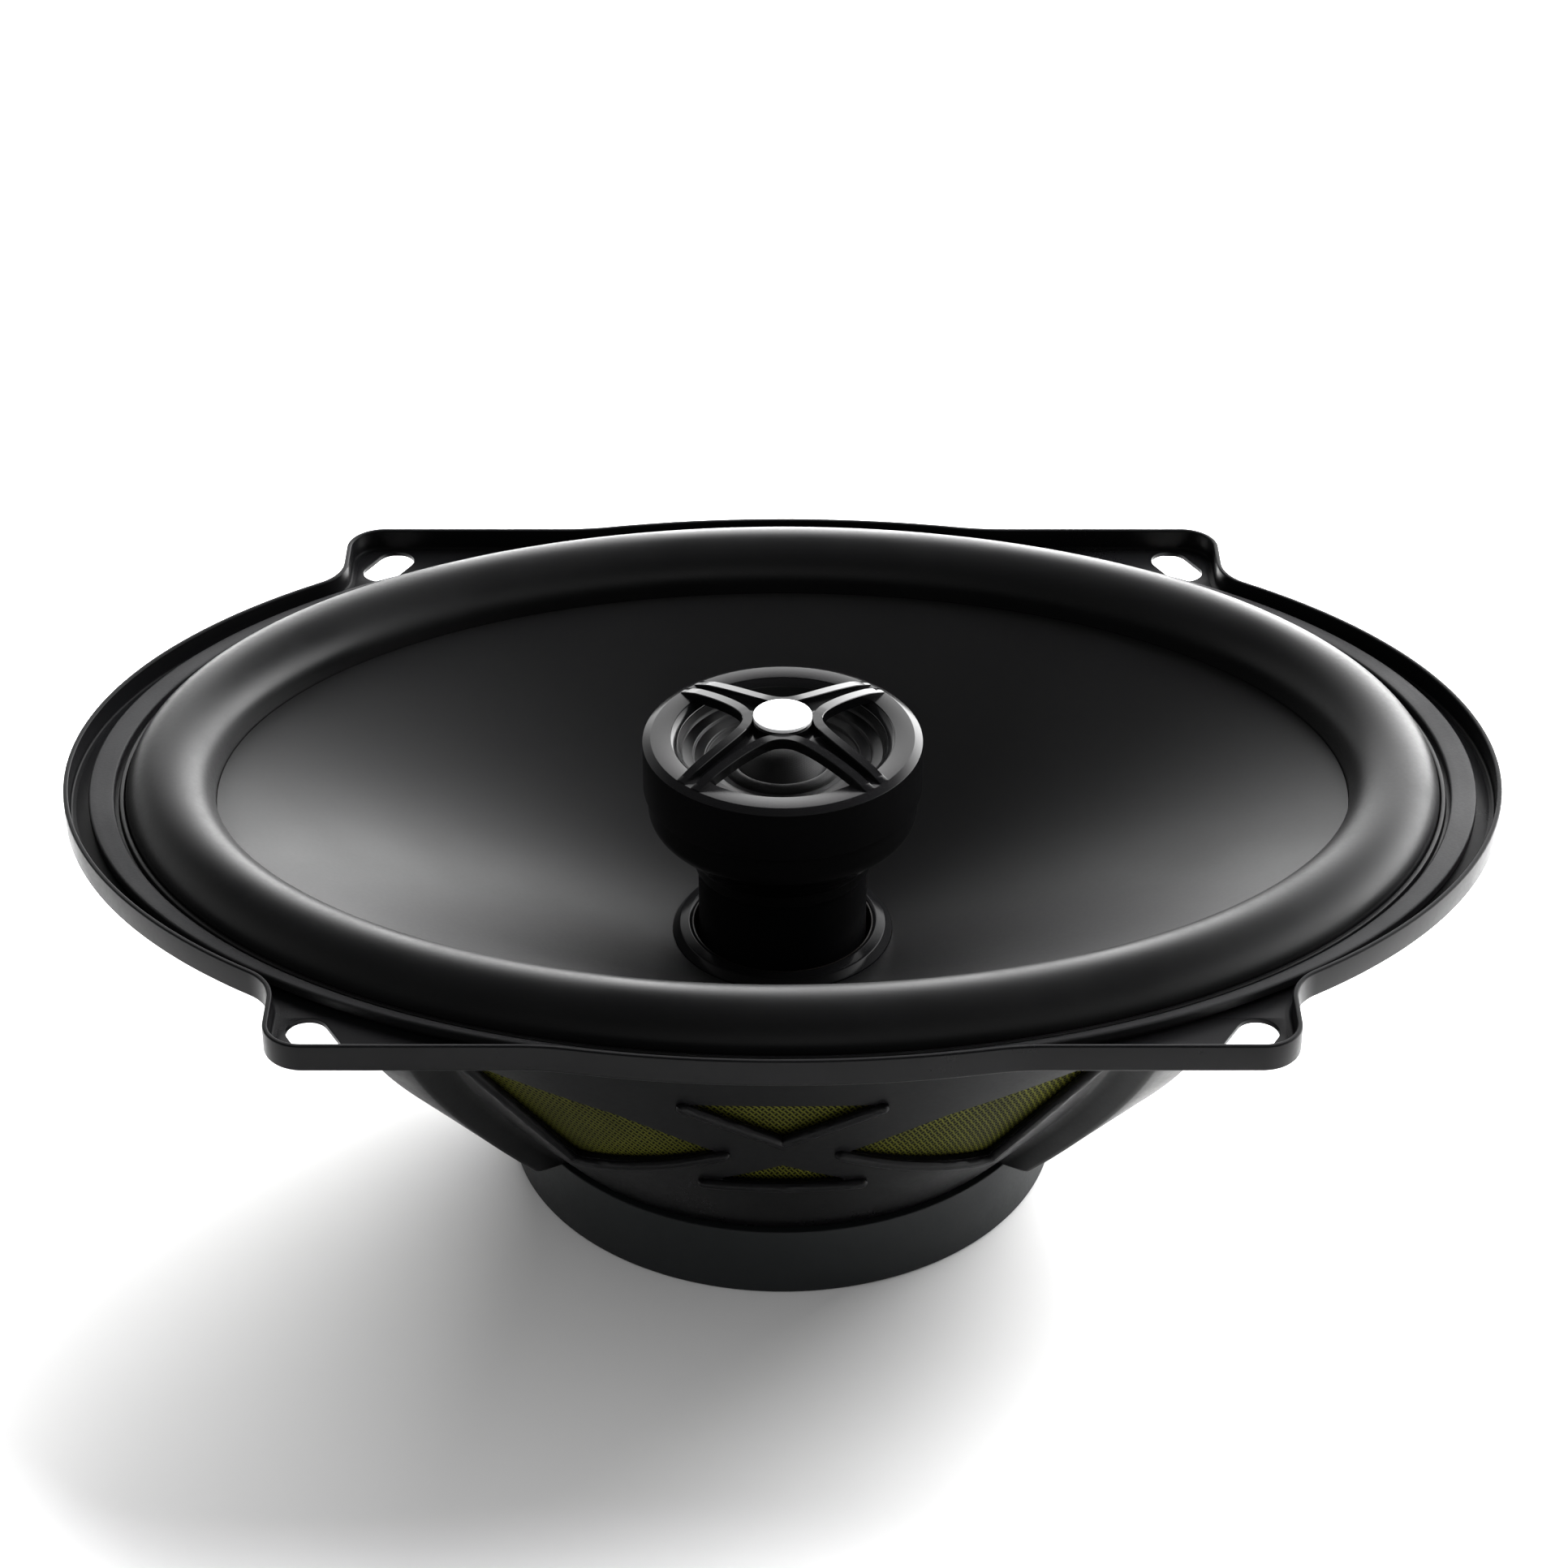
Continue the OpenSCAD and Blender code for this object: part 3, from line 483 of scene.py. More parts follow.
def surface(name, colour, rough, metal=0.0, spec=0.5, grain=900.0, grain_depth=0.00002, grain_force=0.25,
            cloud=22.0, vary=0.25, rough_vary=0.08, wear=None, stretch=None, matt_below=None):
    """Moulded, painted or plated surface: fine grain, soft clouding in tone and gloss, worn edges.

    With matt_below, a height in millimetres and an amount, it is rougher by that amount below that height.
    """
    t = new_material(name)
    tone = t.mix(t.span(t.noise(cloud, 4), 0, 1), tint(colour, 1 - vary), tint(colour, 1 + vary))
    if wear:
        tone = t.mix(t.edge_wear(), tone, wear)
    t.feed(t.shader.inputs["Base Color"], tone)
    fine = t.noise(grain, 2, 0.6, stretch=stretch)
    gloss = t.math("ADD", t.span(t.noise(cloud * 2.3, 3), -rough_vary, rough_vary),
                   t.span(fine, rough - rough_vary / 3, rough + rough_vary / 3))
    if matt_below:
        height, extra = matt_below
        gloss = t.math("ADD", gloss, t.span(t.split()[2], extra, 0, height * MM, (height + 0.3) * MM))
    t.feed(t.shader.inputs["Roughness"], gloss)
    t.feed(t.shader.inputs["Normal"], t.bump(fine, grain_force, grain_depth))
    t.shader.inputs["Metallic"].default_value = metal
    t.shader.inputs["Specular IOR Level"].default_value = spec


def woven(name, warp_colour, weft_colour, gap_shade_colour, pitch, rough, use_uv, force=0.6, sheen=0.0, spec=0.3,
          gap_low=0.6, gap_high=0.9):
    """Plain weave of two threads, over and under, with painted shade in the gaps between them. Pitch in
    millimetres.
    """
    t = new_material(name)
    u, v, _ = t.split("UV" if use_uv else "Object")
    to_turns = math.pi / (pitch if use_uv else pitch * MM)
    wobble = t.span(t.noise(160, 2), -0.18, 0.18)
    a = t.math("ADD", t.math("MULTIPLY", u, to_turns), wobble)
    b = t.math("ADD", t.math("MULTIPLY", v, to_turns), wobble)
    sa, sb = t.math("SINE", a), t.math("SINE", b)
    over = t.math("MULTIPLY", t.math("COSINE", a), t.math("COSINE", b))
    warp = t.math("ADD", t.math("ABSOLUTE", sa), t.math("MULTIPLY", over, 0.3))
    weft = t.math("SUBTRACT", t.math("ABSOLUTE", sb), t.math("MULTIPLY", over, 0.3))
    height = t.math("MAXIMUM", warp, weft)
    thread = t.mix(t.math("GREATER_THAN", warp, weft), weft_colour, warp_colour)
    patch = t.mix(t.span(t.noise(70, 3), 0, 0.6), thread, gap_shade_colour)
    # The gaps take the gap colour: painted shade between the threads, which on the screen also stands in for
    # the dark inside seen through its holes.
    gap = t.span(height, 1, 0, gap_low, gap_high)
    t.feed(t.shader.inputs["Base Color"], t.mix(gap, patch, gap_shade_colour))
    t.feed(t.shader.inputs["Roughness"], t.span(height, rough + 0.1, rough, 0.4, 1.1))
    t.feed(t.shader.inputs["Normal"], t.bump(height, force, 0.00008))
    t.shader.inputs["Sheen Weight"].default_value = sheen
    t.shader.inputs["Specular IOR Level"].default_value = spec


def wound(name, colour, pitch, rough=0.25):
    """Lacquered wire wound round the axis, one groove to a turn, with painted shade darkening each groove.
    Pitch in millimetres.
    """
    t = new_material(name)
    z = t.split()[2]
    ridge = t.math("ABSOLUTE", t.math("SINE", t.math("MULTIPLY", z, math.pi / (pitch * MM))))
    # Each groove is painted a quarter as bright as the wire: painted shade.
    t.feed(t.shader.inputs["Base Color"], t.mix(ridge, tint(colour, 0.25), colour))
    t.feed(t.shader.inputs["Roughness"], t.span(t.noise(300), rough - 0.05, rough + 0.1))
    t.feed(t.shader.inputs["Normal"], t.bump(ridge, 0.8, 0.0001))
    t.shader.inputs["Metallic"].default_value = 0.9


def brushed(name, colour, rough=0.3, rings=False):
    """Plated steel with fine turning or rolling marks."""
    t = new_material(name)
    if rings:
        x, y, _ = t.split()
        r = t.math("SQRT", t.math("ADD", t.math("MULTIPLY", x, x), t.math("MULTIPLY", y, y)))
        marks = t.math("SINE", t.math("ADD", t.math("MULTIPLY", r, 42000.0),
                                      t.math("MULTIPLY", t.noise(400, 2), 6.0)))
        marks = t.span(marks, 0, 1, -1, 1)
    else:
        marks = t.noise(500, 3, 0.7, stretch=(1, 14, 14))
    stain = t.noise(40, 4)
    tone = t.mix(t.span(stain, 0, 1), tint(colour, 0.75), tint(colour, 1.1))
    t.feed(t.shader.inputs["Base Color"], tone)
    t.feed(t.shader.inputs["Roughness"], t.math("ADD", t.span(marks, -0.05, 0.05, 0, 1),
                                                t.span(stain, rough - 0.05, rough + 0.12)))
    t.feed(t.shader.inputs["Normal"], t.bump(marks, 0.12, 0.00002))
    t.shader.inputs["Metallic"].default_value = 1.0


def make_materials():
    """One procedural material for each slot of the record."""
    black = (0.002, 0.002, 0.0022)
    polished = {"grain_depth": 0.000005, "rough_vary": 0.02}
    surface("painted_steel", (0.0028, 0.0028, 0.0031), 0.34, spec=0.1, grain=1400, grain_depth=0.00003,
            grain_force=0.15)
    brushed("rivet_steel", (0.2, 0.2, 0.21))
    surface("gasket_foam", (0.005, 0.005, 0.0055), 0.55, spec=0.4, grain=2200, grain_depth=0.00004,
            grain_force=0.35)
    surface("surround_rubber", (0.0022, 0.0022, 0.0024), 0.38, spec=0.4, grain=1500, grain_depth=0.00001,
            grain_force=0.15, cloud=16, vary=0.2)
    surface("cone_poly", black, 0.42, spec=0.6, grain=1700, grain_depth=0.00001, grain_force=0.12, cloud=12,
            vary=0.15, rough_vary=0.04)
    surface("collar_plastic", black, 0.13, spec=0.22, grain=1200, grain_force=0.03, **polished)
    # The third colour of a weave is painted shade in the gaps between its threads.
    woven("spider_cloth", (0.42, 0.3, 0.09), (0.36, 0.25, 0.07), (0.08, 0.05, 0.02), 0.5, 0.7, False)
    surface("ring_plastic", (0.06, 0.06, 0.065), 0.5)
    surface("former_kapton", (0.004, 0.0035, 0.003), 0.3, spec=0.3, cloud=60)
    wound("winding_copper", (0.62, 0.26, 0.1), 0.25)
    brushed("motor_steel", (0.42, 0.43, 0.45), rings=True)
    surface("ferrite", (0.045, 0.045, 0.05), 0.6, grain=3000, grain_depth=0.00005, wear=(0.09, 0.09, 0.095))
    surface("cover_rubber", (0.0085, 0.0098, 0.0105), 0.46, spec=0.2, grain=1800, grain_force=0.2, vary=0.15)
    surface("post_plastic", (0.0015, 0.0015, 0.0017), 0.4, spec=0.2, grain=1400, grain_force=0.1)
    brushed("bolt_steel", (0.52, 0.52, 0.54), rings=True)
    surface("capacitor_film", (0.02, 0.04, 0.15), 0.3, cloud=80)
    surface("tweeter_plastic", black, 0.2, spec=0.42, grain=1500, grain_force=0.04, **polished)
    surface("grille_plastic", black, 0.14, grain=1500, grain_force=0.03, matt_below=(7.4, 0.2), **polished)
    surface("badge_metal", (0.86, 0.86, 0.87), 0.3, metal=0.15, grain=700, grain_depth=0.00001,
            grain_force=0.1, vary=0.03)
    # The third colour is painted shade in the gaps of the weave.
    woven("dome_silk", (0.011, 0.011, 0.012), (0.008, 0.008, 0.009), (0.002, 0.002, 0.002), 0.22, 0.42,
          False, force=0.35, sheen=0.1)
    brushed("magnet_neodymium", (0.6, 0.6, 0.62), 0.2, rings=True)
    # The third colour is painted shade in the gaps of the weave.
    woven("screen_cloth", (0.085, 0.087, 0.011), (0.05, 0.052, 0.008), (0.0006, 0.0006, 0.0004), 0.85, 0.6,
          True, spec=0.06, gap_low=0.76, gap_high=0.99)
    surface("board_phenolic", (0.07, 0.03, 0.01), 0.45, spec=0.2, grain=500, vary=0.35, cloud=90,
            stretch=(1, 8, 1))
    brushed("terminal_brass", (0.32, 0.22, 0.07), 0.28)
    brushed("terminal_tin", (0.24, 0.24, 0.25), 0.32)
    brushed("tinsel_braid", (0.6, 0.34, 0.14), 0.35)
    surface("wire_red", (0.2, 0.01, 0.008), 0.4, spec=0.3, cloud=120)
    surface("wire_black", (0.012, 0.012, 0.013), 0.4, cloud=120)


make_materials()


# ---------- Basket ----------

WINDOW_CORNER, SIDE_REACH, END_REACH, BEAD_R, BEAD_LIFT = 0.6, (33, 90), (30, 110), 0.85, 0.2
WINDOW_SIDE = [(8.5, -29.4), (22.5, -21.2), (43, -12.5), (28.8, -37)]
WINDOW_TOP = [(-14.2, -17.2), (14.2, -17.2), (0, -25.6)]
WINDOW_FOOT = [(-10.6, -36.9), (10.6, -36.9), (0, -32.2)]
WINDOW_END = [(8, -13.5), (36, -13.5), (18, -37), (8, -37)]
BEADS = [[(-13.6, -17.7), (-7, -21.8), (-1.5, -25.2), (0, -26.2), (1.5, -25.2), (7, -21.8), (13.6, -17.7)],
         [(-11, -37.3), (0, -37.5), (11, -37.3)],
         [(8.0, -29.6), (14, -32.3), (22, -35.6), (28.6, -37.9), (31, -35), (37, -24.3), (43.6, -12.2)]]


def prism(outline, reach, to_world):
    """Closed prism over a rounded window outline, between two reaches through the wall."""
    o = rounded(outline, [WINDOW_CORNER] * len(outline), 5)
    return Shape().loft([[to_world(p, r) for p in o] for r in reach], closed=False, caps=True)

def basket_windows(walls):
    """Cuts the windows out of the wall mesh: those along the sides first, then those at the ends."""
    sides, ends = Shape(), Shape()
    for sy in (-1, 1):
        outlines = [WINDOW_TOP, WINDOW_FOOT, WINDOW_SIDE, [(-x, z) for x, z in WINDOW_SIDE]]
        for o in outlines:
            part = prism(o, SIDE_REACH, lambda p, r: (p[0], sy * r, p[1]))
            sides.add(part.verts, part.faces)
    for sx in (-1, 1):
        for o in (WINDOW_END, [(-y, z) for y, z in WINDOW_END]):
            part = prism(o, END_REACH, lambda p, r: (sx * r, p[0], p[1]))
            ends.add(part.verts, part.faces)
    walls = cut(walls, sides.mesh("side_windows"))
    return cut(walls, ends.mesh("end_windows"))


def on_board(v):
    """From the terminal board's own axes to the speaker's."""
    x, y, z = v
    c, s = math.cos(BOARD_TILT), math.sin(BOARD_TILT)
    return (BOARD_X + x * c + z * s, y, -BOARD_DROP - x * s + z * c)


def slot_outline(sx, sy):
    """Mounting slot with round ends, in one ear."""
    reach = (SLOT_LEN - SLOT_W) / 2
    points = []
    for end in (0, 180):
        centre = reach * turn(end)
        points += [centre + SLOT_W / 2 * turn(end - 90 + 180 * i / 16) for i in range(17)]
    c, s = turn(180 - SLOT_ANGLE)
    return [(sx * (SLOT_X + x * c - y * s), sy * (SLOT_Y + x * s + y * c)) for x, y in points]


def build_basket():
    """Stamped chassis: lip, slotted flange, windowed wall, floor, rolled beads and terminal pad."""
    lip = Shape().sweep(rim_outline, rounded(
        [(0, 0), (0, LIP_H), (LIP_T, LIP_H), (LIP_T, SHEET), (LIP_FOOT, SHEET), (LIP_FOOT, 0)],
        [0.5, 0.24, 0.24, 0.6, 0, 0], 6))
    flange = filled("flange", [rim_outline(LIP_FOOT - 0.2), bowl_outline(0, -0.5)]
                    + [slot_outline(sx, sy) for sx in (-1, 1) for sy in (-1, 1)], SHEET - 0.02, 0.12)
    levels = [0.5, -1.5, -3.2, -4.5, -5.2, -6.2] + list(np.linspace(-7.6, FLOOR_Z + 2.2, 30))
    levels += [FLOOR_Z + 1.3, FLOOR_Z + 0.6, FLOOR_Z + 0.25]

    def ring(z, d):
        return [(p[0], p[1], z) for p in bowl_outline(z, d)]

    foot = [(FLOOR_Z + 0.08, -0.3), (FLOOR_Z, -0.8)]
    outside = [ring(z, 0) for z in levels] + [ring(z, d) for z, d in foot]
    inside = [ring(z, -WALL) for z in reversed(levels)]
    inside[0] = ring(FLOOR_Z + SHEET, -WALL - 0.6)
    wall = basket_windows(Shape().loft(outside + inside).mesh("wall"))
    floor = filled("floor", [bowl_outline(FLOOR_Z, -0.9, fine=20), [20 * turn(3.75 * i) for i in range(96)]],
                   SHEET, 0.1)
    for v in floor.vertices:
        v.co.z += FLOOR_Z * MM
    beads = Shape()
    for sx in (-1, 1):
        for sy in (-1, 1):
            for k, bead in enumerate(BEADS):
                if k < 2 and sx < 0:  # the two middle beads are their own mirror images
                    continue
                path = [on_bowl(x, z, BEAD_LIFT) * (sx if k == 2 else 1, sy, 1)
                        for x, z in smooth_line(bead, 10)]
                beads.tube(path, BEAD_R)
    pieces = [lip.mesh("lip"), flange, wall, floor, beads.mesh("beads"), pad_mesh()]
    place("basket_shell", joined("basket_shell", pieces, 30), "painted_steel", FRAME, ["basket"])


def pad_mesh():
    """Raised frame that carries the terminal board."""
    outer = rounded([(-10, -13), (10, -13), (10, 13), (-10, 13)], [2] * 4, 6)
    inner = rounded([(-4, -8.5), (4, -8.5), (4, 8.5), (-4, 8.5)], [1] * 4, 6)
    profile = [(0, -2.4), (0, PAD_TOP - 0.3), (0.09, PAD_TOP - 0.09), (0.3, PAD_TOP)]

    def blend_ring(k, z):
        return [(*(a + (b - a) * k), z) for a, b in zip(outer, inner)]

    rings = [blend_ring(d / 6, z) for d, z in profile]
    rings += [blend_ring(1 - d / 6, z) for d, z in reversed(profile)]
    return Shape().loft(rings).moved(on_board).mesh("pad")


def build_rivets():
    """Four formed rivets that hold the basket to the top plate."""
    rivets, circle = Shape(), 28
    base = FLOOR_Z + SHEET + 0.05
    head = rounded([(0, base - 3.8), (1.6, base - 3.8), (1.6, base), (2.9, base), (2.7, base + 0.9),
                    (1.4, base + 1.4), (0, base + 1.4)], [0, 0, 0, 0.1, 0.5, 0.5, 0], 4, closed=False)
    for w in (45, 135, 225, 315):
        start = len(rivets.verts)
        rivets.lathe(head, 24, closed=False)
        c = circle * turn(w)
        rivets.moved(lambda v, c=c: (v[0] + c[0], v[1] + c[1], v[2]), start)
    place("basket_rivets_formed", rivets.mesh("basket_rivets_formed"), "rivet_steel", FRAME,
          ["basket_rivets"])


def build_gasket():
    """Flat oval band with rounded upper edges."""
    base, top = low_high("gasket_ring")[0][2], low_high("gasket_ring")[1][2]
    r, inside, outside_a, outside_b = 0.35, 7.8, 98.7, 69.8

    def ring(k, drop, z):
        out = []
        for t in range(360):
            inner = beside(ROLL_A, ROLL_B, t, inside + drop)
            outer = beside(outside_a, outside_b, t, -drop)
            out.append((*(inner * (1 - k) + outer * k), z))
        return out

    rings = [ring(0, 0, base)]
    for w in np.linspace(0, math.pi / 2, 5):
        rings.append(ring(0, r * (1 - math.cos(w)), top - r * (1 - math.sin(w))))
    rings += [ring(k, r, top) for k in (0.3, 0.5, 0.7)]
    for w in np.linspace(math.pi / 2, 0, 5):
        rings.append(ring(1, r * (1 - math.cos(w)), top - r * (1 - math.sin(w))))
    rings.append(ring(1, 0, base))
    place("gasket_band", Shape().loft(rings).mesh("gasket_band"), "gasket_foam", FRAME, ["gasket_ring"])


def build_screen():
    """Woven screen behind the windows, with a UV map in millimetres along its two slanting threads."""
    clear = WALL + 0.35
    zs = np.linspace(-9.5, -39.5, 24)
    outer = [[(p[0], p[1], z) for p in bowl_outline(z, -clear, arms=False)] for z in zs]
    inner = [[(p[0], p[1], z) for p in bowl_outline(z, -clear - 0.35, arms=False)] for z in reversed(zs)]
    mesh = Shape().loft(outer + inner).mesh("screen")
    mesh = cut(mesh, box_shape((-11, -14, -8), (11, 14, 6)).moved(on_board).mesh("gap"))
    tidy(mesh, 32)
    uv = mesh.uv_layers.new(name="UVMap")
    co = np.array([v.co for v in mesh.vertices]) / MM
    mean_radius, slant = 62, 1.35
    once_round = 2 * math.pi * mean_radius
    along = np.arctan2(co[:, 1] * slant, co[:, 0]) * mean_radius
    down = co[:, 2] * slant
    for face in mesh.polygons:
        base = along[face.vertices[0]]
        for loop in face.loop_indices:
            v = mesh.loops[loop].vertex_index
            a = along[v]
            if a - base > once_round / 2:
                a -= once_round
            if base - a > once_round / 2:
                a += once_round
            uv.data[loop].uv = (a + down[v] / 2, down[v] / 2 - a)
    place("woven_screen", mesh, "screen_cloth", FRAME, ["dust_screen"])


def box_shape(low, high):
    """Box between two corners."""
    corners = [(x, y, z) for z in (low[2], high[2]) for x, y in
               ((low[0], low[1]), (high[0], low[1]), (high[0], high[1]), (low[0], high[1]))]
    return Shape().loft([corners[:4], corners[4:]], closed=False, caps=True)


# ---------- Moving cone ----------

def set_blend(obj):
    """Bakes obj's placement into its mesh."""
    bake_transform(obj)


def build_surround():
    """Rubber half roll between the frame and the cone, on neither body."""
    base = SHEET + 0.05
    foot = base + RUBBER - 0.05
    rise = ROLL_TOP - foot
    inner = ROLL_R - RUBBER
    tuck = CONE_EDGE_Z - 2.1
    n = 30
    roll = [(ROLL_R * math.cos(w), foot + rise * math.sin(w)) for w in np.linspace(math.pi, 0, n + 1)][1:-1]
    under = [(inner * math.cos(w), base + (rise - RUBBER) * math.sin(w) + 0.4)
             for w in np.linspace(0, math.pi, n + 1)][1:-1]
    bead = rounded([(ROLL_R, foot), (ROLL_R + 0.12, foot + 0.8), (ROLL_R + 0.75, foot + 0.8),
                    (ROLL_R + 0.95, foot)], [0.1, 0.2, 0.2, 0.1], 3, closed=False)
    profile = [(-ROLL_R + 0.02, foot)] + roll + bead + [(9, foot - 0.05), (9, base), (inner, base)]
    profile += under + [(-inner, base), (-inner, tuck - RUBBER), (-ROLL_R - 1.6, tuck - RUBBER),
                        (-ROLL_R - 1.6, tuck), (-ROLL_R, tuck)]
    ts = [360 * i / 400 for i in range(400)]
    rings = [[(*beside(ROLL_A, ROLL_B, t, u), z) for t in ts] for u, z in profile]
    shape = Shape().loft(rings)
    mesh = bpy.data.meshes.new("rubber_roll")
    mesh.from_pydata([tuple(MM * c for c in v) for v in shape.verts], [], shape.faces)
    mesh.polygons.foreach_set("use_smooth", [True] * len(mesh.polygons))
    mesh.flip_normals()
    mesh.set_sharp_from_angle(angle=math.radians(40))
    obj = place("rubber_roll", mesh, "surround_rubber", None, ["surround"])
    set_blend(obj)


def build_cone():
    """Cone whose section runs from the oval edge to the round neck."""
    steps, paper = 56, 0.9
    ts = [360 * i / 400 for i in range(400)]

    def ring(s, drop):
        z = CONE_EDGE_Z - (NECK_DEPTH + CONE_EDGE_Z) * s ** CONE_FLARE - drop
        return [(*((1 - s) * beside(ROLL_A, ROLL_B, t, -ROLL_R - 0.1) + s * (COLLAR_R + 0.05) * turn(t)), z)
                for t in ts]

    shares = [i / steps for i in range(steps + 1)]
    rings = [ring(s, 0) for s in reversed(shares)] + [ring(s, paper) for s in shares]
    place("cone_shell", Shape().loft(rings).mesh("cone_shell", 50), "cone_poly", CONE, ["cone"])


def build_collar():
    """Glossy ring where the cone meets the voice coil."""
    low = -NECK_DEPTH - 1.6
    inner = 13.25
    profile = rounded([(inner, low), (COLLAR_R - 0.1, low), (COLLAR_R, -NECK_DEPTH + 0.1),
                       (15.1, -COLLAR_DEPTH - 0.25), (13.7, -COLLAR_DEPTH), (inner, -COLLAR_DEPTH - 0.25)],
                      [0.1, 0.3, 0.15, 0.5, 0.3, 0.2], 5)
    place_turned("neck_collar", "cone_collar", "collar_plastic", profile, 200, 40, CONE)


def build_spider():
    """Corrugated cloth damper between the frame and the cone, on neither body."""
    inner, cuff, outer, rim, mid, cloth, waves = 13.3, 14.2, 33.5, 37.2, -38.3, 0.4, 6
    n = 96
    wave = [(cuff + (outer - cuff) * i / n, mid + 0.9 * math.sin(2 * math.pi * waves * i / n))
            for i in range(n + 1)]
    profile = [(inner, mid + 2.4), (inner + 0.5, mid + 2.4)] + [(r, z + cloth) for r, z in wave]
    profile += [(rim, mid + cloth), (rim, mid)] + wave[::-1] + [(inner, mid)]
    obj = place_turned("damper", "spider", "spider_cloth", profile, 144, 40, body=None)
    set_blend(obj)


TINSEL_ROUTE = [(13.9, 3, -30), (17, 3.2, -31.5), (21, 3.6, -33), (26, 4, -34), (31, 4.4, -34.4),
                (36, 4.7, -33.8), (41, 5, -32.2), (46, 5.2, -29.8), (51, 5.4, -26.8), (56, 5.5, -23.5),
                (60, 5.5, -20.9)]


def build_tinsel(name, node, side):
    """Braided lead: four strands twisted round the route, on neither body."""
    strand_r, twist, fixed_x, free_length = 0.33, 0.42, 59, 44
    line = [p * (1, side, 1) for p in smooth_line(TINSEL_ROUTE, 12)]
    shape = Shape()
    for strand in range(4):
        path = []
        for i, p in enumerate(line):
            t = line[min(i + 1, len(line) - 1)] - line[max(i - 1, 0)]
            t /= np.linalg.norm(t)
            a = np.cross(t, (0, 1, 0))
            a /= np.linalg.norm(a)
            b = np.cross(t, a)
            w = math.pi / 2 * strand + i * twist
            path.append(p + strand_r * (a * math.cos(w) + b * math.sin(w)))
        shape.tube(path, strand_r, 8)
    mesh = shape.mesh(name)
    obj = place(name, mesh, "tinsel_braid", None, [node])
    set_blend(obj)


# ---------- Motor ----------

def build_cover():
    """Cup over the motor, with a notch for the tweeter's wires."""
    low, top = COVER_LOW[2], COVER_HIGH[2]
    inner, hem = COVER_R - 0.6, FLOOR_R - 0.4
    profile = rounded([(0, low), (COVER_R, low), (COVER_R, top), (hem, top), (hem, top - 0.5),
                       (inner, top - 0.5), (inner, low + 0.6), (0, low + 0.6)],
                      [0, 0.5, 0.22, 0.1, 0.05, 0.1, 0.4, 0], 8, closed=False)
    mesh = Shape().lathe(profile, 240, closed=False).mesh("cover")
    notch = box_shape((COVER_R - 3, -2.3, top - 2.4), (COVER_R + 3, 2.3, top + 3)).mesh("notch")
    mesh = tidy(cut(mesh, notch), 32)
    mesh.name = "motor_boot"
    place("motor_boot", mesh, "cover_rubber", FRAME, ["magnet_cover"])


# ---------- Tweeter ----------

def build_post():
    """Hollow pillar that carries the tweeter."""
    low, high = low_high("tweeter_post")
    r, hollow = high[0], 9.8
    profile = rounded([(2.05, low[2]), (r, low[2]), (r, high[2]), (hollow, high[2]), (hollow, -37),
                       (2.05, -37)], [0, 0.3, 0.1, 0.1, 0.4, 0], 4)
    place_turned("pillar", "tweeter_post", "post_plastic", profile, 144)


def build_housing():
    """Rounded lower shell of the tweeter, with its neck over the pillar."""
    r, side, below = low_high("tweeter_post")[1][0], 19.3, -8.5
    profile = rounded(
        [(17.7, 0.35), (17.7, -4.6), (3.2, -4.6), (3.2, -6.6), (r + 0.05, -6.6), (r + 0.05, below - 4),
         (r + 0.55, below - 4), (r + 0.75, below - 2), (side - 4.6, below), (side, below + 4.6),
         (side, -0.5), (side, 0.35)],
        [0, 0.3, 0.2, 0.2, 0.2, 0.1, 0.2, 1.1, 2.5, 3.2, 0, 0.1], 7)
    place_turned("tweeter_shell", "tweeter_housing", "tweeter_plastic", profile, 200, 40)


def build_bezel():
    """Flat ring with a bevelled outer edge."""
    base = low_high("tweeter_bezel")[0][2]
    profile = rounded([(17.6, base), (BEZEL_R, base), (BEZEL_R, BEZEL_TOP - 0.6), (18.8, BEZEL_TOP),
                       (MOUTH_R, BEZEL_TOP), (MOUTH_R, 7.15), (17.6, 7.15)],
                      [0.1, 0.22, 0.05, 0.06, 0.06, 0.1, 0.1], 4)
    place_turned("tweeter_ring", "tweeter_bezel", "tweeter_plastic", profile, 240, 24)


def arch(r):
    """Height of the grille's ridges at a radius: an arch with a flat hub."""
    return min(BADGE_LOW[2] - 0.02, GRILLE_TOP + GRILLE_RISE * (1 - (r / GRILLE_REACH) ** 2))


def grille_height(p, dz):
    """Height at a point of the grille, dz from its top; it sinks and thins over the ring."""
    r = np.linalg.norm(p)
    foot = max(0.0, (r - MOUTH_R) / (GRILLE_REACH - MOUTH_R))
    return arch(r) - FOOT_DROP * foot + dz * (1 - FOOT_THIN * foot)


def opening_edge(y, inset):
    """Point and inward direction on the edge of the opening that faces +X, moved into the arms."""
    shift = GRILLE_ARM * math.sqrt(2)
    root = math.hypot(y, GRILLE_BEND)
    slope = y / root
    into = np.array([-1.0, slope]) / math.hypot(1, slope)
    return np.array([shift + root, y]) + inset * into


def edge_end(inset, reach):
    """Largest y at which the inset edge is still inside a radius."""
    low, high = 0.0, 20.0
    for _ in range(40):
        mid = (low + high) / 2
        if np.linalg.norm(opening_edge(mid, inset)) < reach:
            low = mid
        else:
            high = mid
    return low


